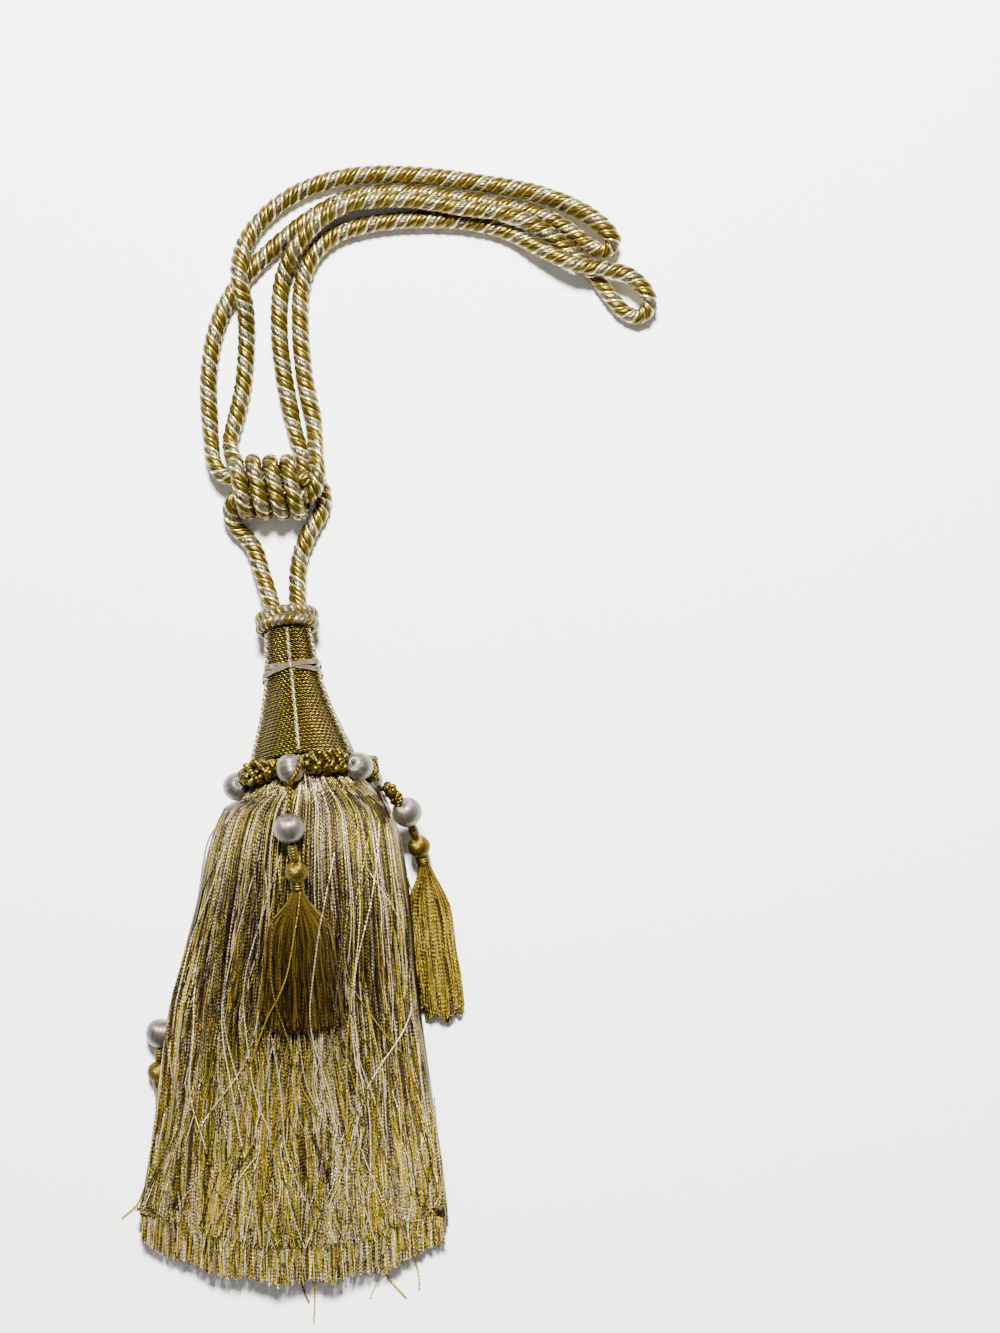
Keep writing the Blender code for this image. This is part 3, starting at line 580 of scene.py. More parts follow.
class Skin:
    """Collects rings of points into one mesh."""

    def __init__(self, wardrobe: Wardrobe) -> None:
        """Starts empty.

        Args:
            wardrobe: The materials.
        """
        self._wardrobe = wardrobe
        self._points: list[Array] = []
        self._faces: list[Array] = []
        self._slots: list[Array] = []
        self._tones: list[Array] = []
        self._laps: list[Array] = []
        self._arcs: list[Array] = []
        self._count = 0

    @staticmethod
    def at_corners(values: Array | float, shape: tuple[int, int, int]) -> Array:
        """Spreads values over the corners of the skin's faces.

        Args:
            values: Values for each ring and each side, the first side twice.
            shape: Paths, rows of faces and sides.

        Returns:
            The value at every corner, face by face.
        """
        paths, rows, sides = shape
        full = np.broadcast_to(values, (paths, rows + 1, sides + 1))
        return np.stack([full[:, :-1, :-1], full[:, :-1, 1:], full[:, 1:, 1:],
                         full[:, 1:, :-1]], axis=-1).reshape(-1)

    def add(self, rings: Array, slot: int | Array = 0, tone: float | Array = 0.5,
            looped: bool = False, lap: Array | float = 0.0,
            arc: Array | float = 0.0) -> None:
        """Adds skins over rows of rings.

        Args:
            rings: Points, as (paths, rings, sides, 3).
            slot: Material slot, for all, or for each path, or for each side.
            tone: Tone of the thread, for all, for each path, or for each point.
            looped: Whether each path joins its own start.
            lap: Turns or yarns counted across the skin, with the first side twice.
            arc: Distance along the thread, in millimetres, with the first side twice.
        """
        paths, rows, sides, _ = rings.shape
        index = self._count + np.arange(paths * rows * sides).reshape(paths, rows, sides)
        here = index if looped else index[:, :-1]
        there = np.roll(index, -1, axis=1) if looped else index[:, 1:]
        quads = np.stack([here, np.roll(here, -1, axis=2), np.roll(there, -1, axis=2),
                          there], axis=-1)
        slots = np.asarray(slot)
        if slots.ndim == 1 and slots.size == paths and slots.size != sides:
            slots = slots[:, None, None]
        self._faces.append(quads.reshape(-1, 4))
        self._slots.append(np.broadcast_to(slots, quads.shape[:3]).reshape(-1))
        self._laps.append(self.at_corners(lap, quads.shape[:3]))
        self._arcs.append(self.at_corners(arc, quads.shape[:3]))
        tones = np.asarray(tone, float)
        tones = tones[:, None, None] if tones.ndim == 1 else tones
        tones = np.broadcast_to(tones, index.shape)
        self._tones.append(tones.reshape(-1))
        self._points.append(rings.reshape(-1, 3))
        self._count += paths * rows * sides
        if looped:
            return
        first_slot = slots[:, 0, 0] if slots.ndim == 3 else slots.reshape(-1)[:1]
        for end, turn in ((0, -1), (-1, 1)):
            caps = self._count + np.arange(paths * sides).reshape(paths, sides)
            self._faces.append(caps[:, ::turn])
            self._slots.append(np.broadcast_to(first_slot, paths).reshape(-1))
            self._laps.append(np.full(caps.size, 0.5))
            self._arcs.append(np.zeros(caps.size))
            self._tones.append(tones[:, end].reshape(-1))
            self._points.append(rings[:, end].reshape(-1, 3))
            self._count += paths * sides

    def add_threads(self, paths: Array, radius: float, turn: Array, slots: Array | int,
                    tones: Array, sides: int = 3, arc: Array | None = None) -> None:
        """Adds single threads, each counted apart from the others.

        Args:
            paths: Points, as (threads, points, 3).
            radius: A thread's radius.
            turn: How far each thread's rings are turned, in radians.
            slots: Material slot, for all or for each.
            tones: Tone of each thread at each point.
            sides: Points in a ring.
            arc: Distance along each thread, if it isn't counted from the paths' starts.
        """
        self.add(tube_rings(paths, radius, sides, turn), slots, tones,
                 lap=np.arange(len(paths))[:, None, None] + 0.5,
                 arc=run_along(paths)[..., None] if arc is None else arc)

    def make(self, name: str, threads: Sequence[Thread], node_slot: str,
             *replaced: str) -> bpy.types.Object:
        """Makes the piece and sets it on the frame.

        Args:
            name: The piece's name.
            threads: What it is made of, one for each slot.
            node_slot: The record's material slot, which is not used.
            *replaced: Nodes that it stands for.

        Returns:
            The new piece.
        """
        mesh = bpy.data.meshes.new(name)
        points = np.concatenate(self._points) * MM
        sizes = np.concatenate([np.full(len(f), f.shape[1]) for f in self._faces])
        corners = np.concatenate([f.reshape(-1) for f in self._faces])
        mesh.vertices.add(len(points))
        mesh.vertices.foreach_set("co", points.astype(np.float32).ravel())
        mesh.loops.add(len(corners))
        mesh.loops.foreach_set("vertex_index", corners.astype(np.int32))
        mesh.polygons.add(len(sizes))
        starts = np.concatenate([[0], np.cumsum(sizes)[:-1]])
        mesh.polygons.foreach_set("loop_start", starts.astype(np.int32))
        mesh.polygons.foreach_set("material_index",
                                  np.concatenate(self._slots).astype(np.int32))
        mesh.update(calc_edges=True)
        mesh.shade_smooth()
        tone = mesh.attributes.new("tone", "FLOAT", "POINT")
        tone.data.foreach_set("value", np.concatenate(self._tones).astype(np.float32))
        for trait, values in (("lap", self._laps), ("arc", self._arcs)):
            layer = mesh.attributes.new(trait, "FLOAT", "CORNER")
            layer.data.foreach_set("value", np.concatenate(values).astype(np.float32))
        for thread in threads:
            mesh.materials.append(self._wardrobe.get(thread))
        piece = bpy.data.objects.new(name, mesh)
        bpy.context.scene.collection.objects.link(piece)
        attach(piece, BODY)
        if replaced:
            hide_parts(*replaced)
        triangles = int(np.sum(sizes - 2))
        LOG.info("%s: %d points, %d triangles", name, len(points), triangles)
        return piece


# ================================================================ curves
def run_along(paths: Array) -> Array:
    """Gives the distance run at the points of one path or of several."""
    steps = np.linalg.norm(np.diff(paths, axis=-2), axis=-1)
    return np.concatenate([np.zeros_like(steps[..., :1]), np.cumsum(steps, axis=-1)], axis=-1)


def smooth_route(points: Array, step: float) -> Array:
    """Runs a centripetal Catmull-Rom curve through points.

    Args:
        points: Points with any number of values each.
        step: Greatest distance between the curve's points.

    Returns:
        The curve's points.
    """
    ends = np.vstack([2 * points[0] - points[1], points, 2 * points[-1] - points[-2]])
    curve = []
    for k in range(len(points) - 1):
        a, b, c, d = ends[k:k + 4]
        t1 = max(np.linalg.norm(b - a), 1e-6) ** 0.5
        t2 = t1 + max(np.linalg.norm(c - b), 1e-6) ** 0.5
        t3 = t2 + max(np.linalg.norm(d - c), 1e-6) ** 0.5
        pieces = max(2, math.ceil(np.linalg.norm(c - b) / step))
        t = (t1 + (t2 - t1) * np.arange(pieces) / pieces)[:, None]
        ab = a + (b - a) * t / t1
        bc = b + (c - b) * (t - t1) / (t2 - t1)
        cd = c + (d - c) * (t - t2) / (t3 - t2)
        abc = ab + (bc - ab) * t / t2
        bcd = bc + (cd - bc) * (t - t1) / (t3 - t1)
        curve.append(abc + (bcd - abc) * (t - t1) / (t2 - t1))
    return np.vstack([*curve, points[-1]])


def even_spaced(curve: Array, step: float) -> Array:
    """Spaces points evenly along a fine curve.

    Args:
        curve: The curve's points.
        step: Distance wanted between points.

    Returns:
        The spaced points.
    """
    run = run_along(curve)
    count = max(2, round(run[-1] / step))
    wanted = np.linspace(0.0, run[-1], count + 1)
    return np.stack([np.interp(wanted, run, column) for column in curve.T], axis=1)


def through_stations(stations: Array, samples: int) -> Array:
    """Runs smooth curves through the same number of stations.

    Args:
        stations: Points, as (paths, stations, 3).
        samples: Points wanted on each curve.

    Returns:
        The curves, as (paths, samples, 3).
    """
    gaps = np.linalg.norm(np.diff(stations, axis=1), axis=2).mean(axis=0)
    knots = np.concatenate([[0.0], np.cumsum(gaps)])
    slopes = np.diff(stations, axis=1) / gaps[None, :, None]
    before, after = gaps[:-1][None, :, None], gaps[1:][None, :, None]
    inner = (slopes[:, :-1] * after + slopes[:, 1:] * before) / (before + after)
    tangents = np.concatenate([slopes[:, :1], inner, slopes[:, -1:]], axis=1)
    place = np.linspace(0.0, knots[-1], samples)
    which = np.clip(np.searchsorted(knots, place, side="right") - 1, 0, len(gaps) - 1)
    width = gaps[which][None, :, None]
    t = ((place - knots[which]) / gaps[which])[None, :, None]
    return ((2 * t ** 3 - 3 * t ** 2 + 1) * stations[:, which]
            + (t ** 3 - 2 * t ** 2 + t) * width * tangents[:, which]
            + (3 * t ** 2 - 2 * t ** 3) * stations[:, which + 1]
            + (t ** 3 - t ** 2) * width * tangents[:, which + 1])


def twisted_pair(path: Array, offset: float, lay: float) -> Array:
    """Winds two strands round a path.

    Args:
        path: The path's points, as (points, 3).
        offset: Distance of each strand from the path.
        lay: Length of a full turn.

    Returns:
        The strands' paths, as (2, points, 3).
    """
    side, up = across_frames(path[None], (1.0, 0.02, 0.1))
    turn = -2.0 * math.pi * run_along(path) / lay
    return beside(path, side, up, offset, turn + np.array([[0.0], [math.pi]]))


def humps(turns: Array) -> Array:
    """Gives a row of rounded ridges between 0 and 1, one to each turn."""
    return np.abs(np.sin(math.pi * turns))


def yarns_across(sides: int, yarns: float) -> Array:
    """Counts yarns across the sides of a ring, with the first side twice."""
    return np.arange(sides + 1) * (yarns / sides)


def on_disc(u: Array, v: Array) -> tuple[Array, Array]:
    """Moves places in a square from -1 to 1 into a round disc."""
    return u * np.sqrt(1.0 - v * v / 2.0), v * np.sqrt(1.0 - u * u / 2.0)


def keep_above(points: Array, height: float) -> None:
    """Lifts the points that lie lower than a height."""
    points[..., 2] = np.maximum(points[..., 2], height)


def any_turn(chance: np.random.Generator, count: int) -> Array:
    """Gives each thread a random angle, nearly anywhere in a full turn."""
    return chance.uniform(0.0, 6.0, (count, 1))


# ================================================================ rope
@dataclass(frozen=True)
class Ply:
    """One strand of the rope's lay.

    Attributes:
        turn: Its place round the rope, in degrees.
        share: Its radius, as a share of the rope's.
        reach: Distance of its middle from the rope's, as a share of the rope's radius.
        thread: What it is made of.
        tone: Its tone.
        sides: Points in a ring.
        yarns: Yarns in it.
        yarn_lay: Length of the yarns' turn, in millimetres.
        mottle: How much its tone changes along it.
    """

    turn: float
    share: float
    reach: float
    thread: Thread
    tone: float
    sides: int = 10
    yarns: int = 7
    yarn_lay: float = 19.0
    mottle: float = 0.06


@dataclass
class Rope:
    """Three plies and three fine lines laid into a rope with two loops and a wrapped knot.

    The centreline is the same one that the frame's rope follows.
    """

    wardrobe: Wardrobe
    radius: float = 3.7
    girth: float = 3.92
    lay: float = 13.0
    plies: tuple[Ply, ...] = (
        Ply(0.0, 0.485, 0.515, Thread.ROPE_GOLD, 0.50),
        Ply(120.0, 0.485, 0.515, Thread.ROPE_GOLD, 0.40),
        Ply(240.0, 0.485, 0.515, Thread.ROPE_MIXED, 0.50, yarn_lay=7.0, mottle=0.3),
        Ply(60.0, 0.155, 0.765, Thread.ROPE_LINE, 0.05, 5, 1),
        Ply(180.0, 0.185, 0.765, Thread.ROPE_LINE, 0.95, 5, 1),
        Ply(300.0, 0.165, 0.765, Thread.ROPE_LINE, 0.60, 5, 1))
    step: float = 1.15
    tight: float = 0.92
    floor_gap: float = 0.05
    leg_out: tuple = ((-9.5, 138.5, 12.6), (-16.0, 158.5, 6.2), (-20.5, 171.0, 3.9))
    knot_pass_out: tuple = (
        (-28.0, 179.5, 5.2), (-29.6, 185.0, 7.6), (-28.6, 189.2, 9.9),
        (-24.4, 191.4, 10.75), (-11.0, 191.9, 10.75), (-1.5, 191.9, 10.75),
        (3.8, 191.7, 11.9), (7.2, 194.2, 15.2), (8.2, 199.8, 16.8), (7.6, 205.8, 13.8),
        (6.9, 212.0, 9.8), (6.3, 219.0, 5.6))
    first_loop_out: tuple = (
        (5.4, 226.0, 3.9), (2.0, 242.5, 3.8), (0.0, 265.5, 3.8), (1.0, 283.5, 3.8),
        (5.5, 295.0, 3.8), (14.5, 303.5, 3.8), (30.0, 308.5, 3.8), (55.5, 310.5, 3.8),
        (75.0, 309.0, 3.8))
    first_fold: tuple = (
        (90.0, 304.5, 4.2), (105.0, 296.0, 8.6), (117.0, 290.5, 11.8),
        (130.5, 288.5, 10.9), (141.0, 285.5, 10.7), (147.5, 279.5, 9.4),
        (149.5, 273.5, 7.0), (145.5, 269.0, 4.8), (139.5, 270.5, 3.8), (133.5, 277.0, 3.8),
        (127.5, 285.0, 3.6), (118.5, 294.5, 3.7), (111.5, 300.5, 6.2), (104.0, 305.5, 9.0),
        (90.0, 311.5, 10.9))
    first_loop_back: tuple = (
        (73.0, 314.0, 10.7), (44.0, 318.0, 10.3), (21.5, 316.0, 10.9), (10.0, 310.0, 10.8),
        (2.0, 302.0, 9.8), (-4.0, 293.5, 6.8), (-8.0, 282.5, 4.0), (-9.0, 263.5, 3.8),
        (-7.0, 244.0, 3.8), (-4.0, 228.0, 3.8))
    wrap_start: tuple = ((-3.2, 224.0, 3.8), (-1.4, 217.0, 3.5), (0.4, 211.5, 3.4))
    wrap_end: tuple = ((-28.6, 209.9, 8.0), (-30.0, 215.0, 4.9))
    second_loop_out: tuple = (
        (-28.5, 221.5, 3.8), (-24.5, 239.5, 3.8), (-23.0, 259.0, 4.0), (-23.0, 272.0, 8.2),
        (-25.0, 282.0, 11.7), (-25.5, 290.5, 10.4), (-23.5, 300.0, 6.0), (-17.0, 310.0, 3.8),
        (-4.0, 320.5, 3.8), (13.0, 327.5, 3.8), (31.0, 330.0, 3.8), (51.5, 329.5, 3.8),
        (76.0, 326.5, 3.8), (98.5, 322.5, 4.6), (113.5, 317.0, 7.6), (124.0, 311.0, 10.4),
        (130.5, 305.5, 10.8))
    second_fold: tuple = (
        (134.0, 300.5, 8.6), (130.5, 297.0, 5.4), (124.0, 299.5, 3.7), (116.5, 305.5, 3.5),
        (105.0, 312.0, 3.5), (90.0, 316.0, 3.5))
    second_loop_back: tuple = (
        (76.0, 318.0, 3.8), (55.5, 321.0, 3.8), (36.5, 322.0, 3.8), (20.5, 319.5, 3.8),
        (5.0, 311.5, 3.8), (-8.5, 301.0, 3.8), (-20.5, 289.5, 3.8), (-30.0, 277.5, 3.8),
        (-36.2, 263.0, 3.8), (-39.2, 244.0, 3.8), (-38.9, 227.0, 3.8))
    knot_pass_back: tuple = (
        (-38.2, 217.0, 3.9), (-37.6, 210.5, 5.0), (-36.0, 204.8, 7.4), (-32.8, 200.9, 9.8),
        (-27.0, 199.2, 10.7), (-12.0, 199.1, 10.75), (-1.0, 199.1, 10.8), (5.0, 198.9, 10.0),
        (9.0, 196.4, 7.2), (10.2, 191.6, 4.4), (9.2, 185.5, 3.7))
    leg_back: tuple = ((4.0, 176.5, 3.8), (-0.5, 164.0, 4.4), (-0.4, 139.6, 12.6))
    wrap_turns: float = 3.88
    wrap_steps: int = 14
    wrap_left: float = -27.0
    wrap_pitch: float = 7.3
    wrap_slant: float = 0.11
    wrap_centre: tuple[float, float] = (195.5, 10.75)
    wrap_straight: float = 3.6
    wrap_radius: float = 7.3

    def wrap_point(self, turns: float) -> tuple[float, float, float]:
        """Gives a point on the wraps, which run round the two core strands.

        Args:
            turns: Turns made, counted from the left end of the knot.

        Returns:
            The point.
        """
        whole = math.floor(turns)
        share = turns - whole
        straight = 2.0 * self.wrap_straight
        quarter = math.pi * self.wrap_radius / 2.0
        run = share * (2.0 * straight + 4.0 * quarter)
        half, radius = self.wrap_straight, self.wrap_radius
        if run < quarter:
            y = half + radius * math.cos(run / radius)
            z = radius * math.sin(run / radius)
        elif run < quarter + straight:
            y = half - (run - quarter)
            z = radius
        elif run < 3.0 * quarter + straight:
            angle = (run - quarter - straight) / radius
            y = -half - radius * math.sin(angle)
            z = radius * math.cos(angle)
        elif run < 3.0 * quarter + 2.0 * straight:
            y = -half + (run - 3.0 * quarter - straight)
            z = -radius
        else:
            angle = (run - 3.0 * quarter - 2.0 * straight) / radius
            y = half + radius * math.sin(angle)
            z = -radius * math.cos(angle)
        lead = share + self.wrap_slant * (1.0 - math.cos(2.0 * math.pi * share))
        x = self.wrap_left + self.wrap_pitch * (whole + lead)
        return (x, self.wrap_centre[0] + y, self.wrap_centre[1] + z)

    def centreline(self) -> tuple[Array, Array]:
        """Follows the whole rope.

        Returns:
            Its points and its thickness at each.
        """
        count = math.floor(self.wrap_turns * self.wrap_steps)
        wraps = tuple(self.wrap_point(n / self.wrap_steps)
                      for n in reversed(range(count + 1)))
        stretches = (
            (self.leg_out, 1.0), (self.knot_pass_out, self.tight),
            (self.first_loop_out, 1.0), (self.first_fold, self.tight),
            (self.first_loop_back, 1.0), (self.wrap_start, self.tight),
            (wraps, self.tight), (self.wrap_end, self.tight),
            (self.second_loop_out, 1.0), (self.second_fold, self.tight),
            (self.second_loop_back, 1.0), (self.knot_pass_back, self.tight),
            (self.leg_back, 1.0))
        points = np.array([(*p, size) for stretch, size in stretches for p in stretch])
        spaced = even_spaced(smooth_route(points, 0.5), self.step)
        path, size = spaced[:, :3], spaced[:, 3]
        path[:, 2] = np.maximum(path[:, 2], self.girth * size + self.floor_gap)
        return path, size

    def build(self) -> None:
        path, size = self.centreline()
        run = run_along(path)
        side, up = across_frames(path[None], (1.0, 0.0, 0.0))
        chance = np.random.default_rng(7)
        skin = Skin(self.wardrobe)
        kinds = list(dict.fromkeys(ply.thread for ply in self.plies))
        for ply in self.plies:
            turn = -2.0 * math.pi * run / self.lay + math.radians(ply.turn)
            strand = beside(path, side, up, self.girth * ply.reach * size, turn)
            rings = tube_rings(strand, self.girth * ply.share * size, ply.sides,
                               2.0 * math.pi * run / ply.yarn_lay)
            mottle = chance.normal(0.0, ply.mottle, (len(path), ply.sides))
            skin.add(rings, kinds.index(ply.thread), ply.tone + mottle[None],
                     lap=yarns_across(ply.sides, ply.yarns), arc=run[None, :, None])
        piece = skin.make("plied_rope", kinds, "rope_thread", "rope")
        2.0 * self.radius * MM


# ================================================================ head
@dataclass
class Head:
    """The flared, wound head with its ribs, neck bands and collar."""

    wardrobe: Wardrobe
    top: tuple[float, float, float] = (-4.9, 138.0, 12.95)
    axis_line: tuple[float, float, float] = (0.129, -0.957, 0.261)
    profile: tuple = (
        (0.0, 9.0), (5.0, 9.4), (8.6, 10.0), (15.0, 10.6), (20.0, 10.9), (24.0, 11.6),
        (31.0, 13.0), (41.5, 15.7), (52.0, 19.3), (57.0, 21.1), (61.0, 22.3), (62.8, 22.8))
    wind_pitch: float = 1.5
    wind_depth: float = 0.4
    wind_sides: int = 120
    wind_tone: float = 0.26
    wind_slip: float = 0.61
    rib_count: int = 6
    rib_radius: float = 0.84
    rib_lift: float = 0.9
    rib_lay: float = 4.2
    rib_offset: float = 0.48
    rib_strand: float = 0.54
    rib_steps: int = 210
    rib_span: tuple[float, float] = (5.6, 61.8)
    collar_middle: float = 11.35
    collar_strand: float = 1.62
    collar_plaits: int = 8
    collar_swing: float = 3.0
    collar_weave: float = 0.85
    collar_steps: int = 24
    collar_sides: int = 12
    collar_yarns: int = 7
    collar_lean: float = 0.33
    band_place: float = 22.5
    band_reach: float = 12.0
    band_tilt: float = math.radians(10.0)
    band_strands: int = 4
    band_gap: float = 2.6 / 4.6
    band_strand: float = 0.30
    band_steps: int = 144

    def __post_init__(self) -> None:
        """Works out the head's own directions."""
        self.axis = unit(np.array(self.axis_line))
        right = np.array([1.0, 0.0, 0.0])
        self.right = unit(right - self.axis * np.dot(right, self.axis))
        self.up = np.cross(self.axis, self.right)

    def point(self, place: Array | float, radius: Array | float,
              around: Array | float) -> Array:
        """Gives points beside the head's axis; a quarter turn is on top.

        Args:
            place: Distance down the axis.
            radius: Distance from the axis.
            around: Angle round the axis.

        Returns:
            The points.
        """
        place, radius, around = np.broadcast_arrays(place, radius, around)
        middle = np.array(self.top) + self.axis * place[..., None]
        return beside(middle, self.right, self.up, radius, around)

    def radius_at(self, place: Array | float) -> Array:
        """Gives the head's radius at distances down its axis."""
        places, radii = zip(*self.profile)
        return np.interp(place, places, radii)

    def build(self) -> None:
        """Builds every piece of the head."""
        self.build_winding()
        self.build_ribs()
        self.build_bands()
        self.build_collar()

    def build_winding(self) -> None:
        """Builds the mould with its close turns of twisted thread."""
        length = self.profile[-1][0]
        place = np.linspace(0.0, length, int(length / self.wind_pitch * 4))[:, None]
        share = np.arange(self.wind_sides + 1) / self.wind_sides - 0.25
        around = share[None, :] * 2.0 * math.pi
        turn = place / self.wind_pitch + share
        radius = self.radius_at(place) + self.wind_depth * (humps(turn) - 0.6)
        rings = self.point(place, radius, around)[None, :, :-1]
        arc = around * self.radius_at(place) + self.wind_slip * np.floor(turn)
        skin = Skin(self.wardrobe)
        skin.add(rings, 0, self.wind_tone, lap=turn[None], arc=arc[None])
        skin.make("wound_head", [Thread.HEAD_GOLD], "gold_thread", "head")

    def build_ribs(self) -> None:
        """Builds the twisted cords laid down the head."""
        for n in range(self.rib_count):
            around = math.pi / 2.0 + 2.0 * math.pi * n / self.rib_count
            place = np.linspace(*self.rib_span, self.rib_steps)
            path = self.point(place, self.radius_at(place) + self.rib_lift, around)
            strands = twisted_pair(path, self.rib_radius * self.rib_offset, self.rib_lay)
            skin = Skin(self.wardrobe)
            skin.add(tube_rings(strands, self.rib_radius * self.rib_strand, 7), 0,
                     np.array([0.95, 0.35]), arc=run_along(strands)[..., None])
            skin.make(f"twisted_rib_{n + 1}", [Thread.CREAM_CORD], "cream_silk",
                      f"rib_{n + 1}")

    def build_bands(self) -> None:
        """Builds the two flat bands that cross tightly round the neck."""
        around = full_turn(self.band_steps)
        part = math.pi / self.rib_count
        off = np.mod(around - math.pi / 2.0, 2.0 * part) - part
        for name, tilt, level in (("neck_band_under", self.band_tilt, 0),
                                  ("neck_band_over", -self.band_tilt, 1)):
            skin = Skin(self.wardrobe)
            for k in range(self.band_strands):
                offset = (k - (self.band_strands - 1) / 2.0) * self.band_gap
                place = (self.band_place + self.band_reach * math.tan(tilt) * np.cos(around)
                         + offset)
                bare = self.radius_at(place)
                over_ribs = bare + self.rib_lift + self.rib_radius + 0.15
                reach = np.maximum(over_ribs * math.cos(part) / np.cos(off), bare + 0.75)
                path = self.point(place, reach + 0.5 * level, around)
                skin.add(self.closed_rings(path, self.band_strand, 6), 0,
                         0.5 + 0.2 * (k % 2), looped=True)
            skin.make(f"flat_{name}", [Thread.BAND_SILK], "cream_silk", name)

    def closed_rings(self, path: Array, radius: float, sides: int) -> Array:
        """Puts rings round a closed path about the head's axis.

        Args:
            path: The closed path's points.
            radius: The strand's radius.
            sides: Points in a ring.

        Returns:
            Rings, as (1, points, sides, 3).
        """
        ahead = unit(np.roll(path, -1, axis=0) - np.roll(path, 1, axis=0))
        side = unit(np.cross(self.axis, ahead))
        up = np.cross(ahead, side)
        return rings_round(path[None], side[None], up[None], radius, sides)

    def build_collar(self) -> None:
        """Builds the plaited ring round the top of the head."""
        skin = Skin(self.wardrobe)
        steps = self.collar_plaits * self.collar_steps
        around = full_turn(steps)
        sides = self.collar_sides
        lap = yarns_across(sides, self.collar_yarns)
        for k in range(3):
            phase = self.collar_plaits * around + 2.0 * math.pi * k / 3.0
            place = self.collar_swing * np.sin(phase)
            radius = self.collar_middle + self.collar_weave * np.sin(2.0 * phase)
            path = self.point(place, radius, around)
            rings = self.closed_rings(path, self.collar_strand, sides)
            arc = np.linspace(0.0, run_along(path)[-1], steps + 1)[None, :, None]
            skin.add(rings, 1 if k == 1 else 0, 0.5 + 0.1 * (k - 1), looped=True,
                     lap=lap + arc * self.collar_lean, arc=arc)
        skin.make("plaited_collar", [Thread.PLAIT_GREY, Thread.PLAIT_GOLD], "plait_thread",
                  "collar")


# ================================================================ ruff
@dataclass
class Ruff:
    """The ring of crocheted gimp and thread-wrapped beads at the head's foot."""

    wardrobe: Wardrobe
    head: Head
    place: float = 70.5
    radius: float = 29.0
    gimp_radius: float = 5.4
    gimp_cord: float = 1.08
    bead_radius: float = 6.0
    bead_degrees: tuple[float, ...] = (163.0, 98.0, 36.0, -25.0, -62.0, -116.0)
    low_inset: float = 2.3
    thin: float = 0.8
    stitch_length: float = 4.6
    stitch_steps: int = 28
    gimp_shift: tuple[float, float] = (-1.9, -1.5)

    def build(self) -> None:
        """Builds the beads and the gimp between them."""
        share = math.degrees(2.0 * math.asin((self.bead_radius + 0.5) / (2.0 * self.radius)))
        turns = [*self.bead_degrees, self.bead_degrees[0] - 360.0]
        for k, degrees in enumerate(self.bead_degrees):
            around = math.radians(degrees)
            centre = self.head.point(self.place, self.radius, around)
            along = (self.head.point(self.place, self.radius, around + 0.05)
                     - self.head.point(self.place, self.radius, around - 0.05))
            Bead(self.wardrobe, f"silk_bead_{k + 1}", f"bead_{k + 1}", centre, along,
                 self.bead_radius).build()
            start = math.radians(turns[k] - share)
            end = math.radians(turns[k + 1] + share)
            # The gimp is thinner under the skirt and where two beads lie close.
            lowest = math.sin((start + end) / 2.0) < -0.8
            short = abs(end - start) < 0.2
            reach = self.radius - self.low_inset if lowest else self.radius
            self.build_gimp(k, start, end, reach, self.thin ** (lowest + short))

    def build_gimp(self, number: int, start: float, end: float, reach: float,
                   thick: float) -> None:
        """Builds one knotted length of gimp from looping cords.

        Args:
            number: Its number round the ring.
            start: Angle at its first bead.
            end: Angle at its second bead.
            reach: Distance from the head's axis.
            thick: Share of the full thickness.
        """
        knots = max(1, round(abs(end - start) * reach / self.stitch_length))
        t = np.linspace(0.0, 1.0, self.stitch_steps * knots)
        spread = 0.55 + 0.45 * np.sin(math.pi * t) ** 0.4
        size = self.gimp_radius * thick

        def along(across: Array, out: Array, push: Array) -> Array:
            """Places the cord beside the gimp's own line."""
            around = start + (end - start) * np.clip(t + push, 0.0, 1.0)
            return self.head.point(self.place + self.gimp_shift[0] + across,
                                   reach + self.gimp_shift[1] + out, around)

        gimp = Gimp(self.wardrobe, f"crochet_gimp_{number + 1}", f"gimp_{number + 1}",
                    self.gimp_cord, number)
        gimp.knit(along, t * knots, size * spread, knots)


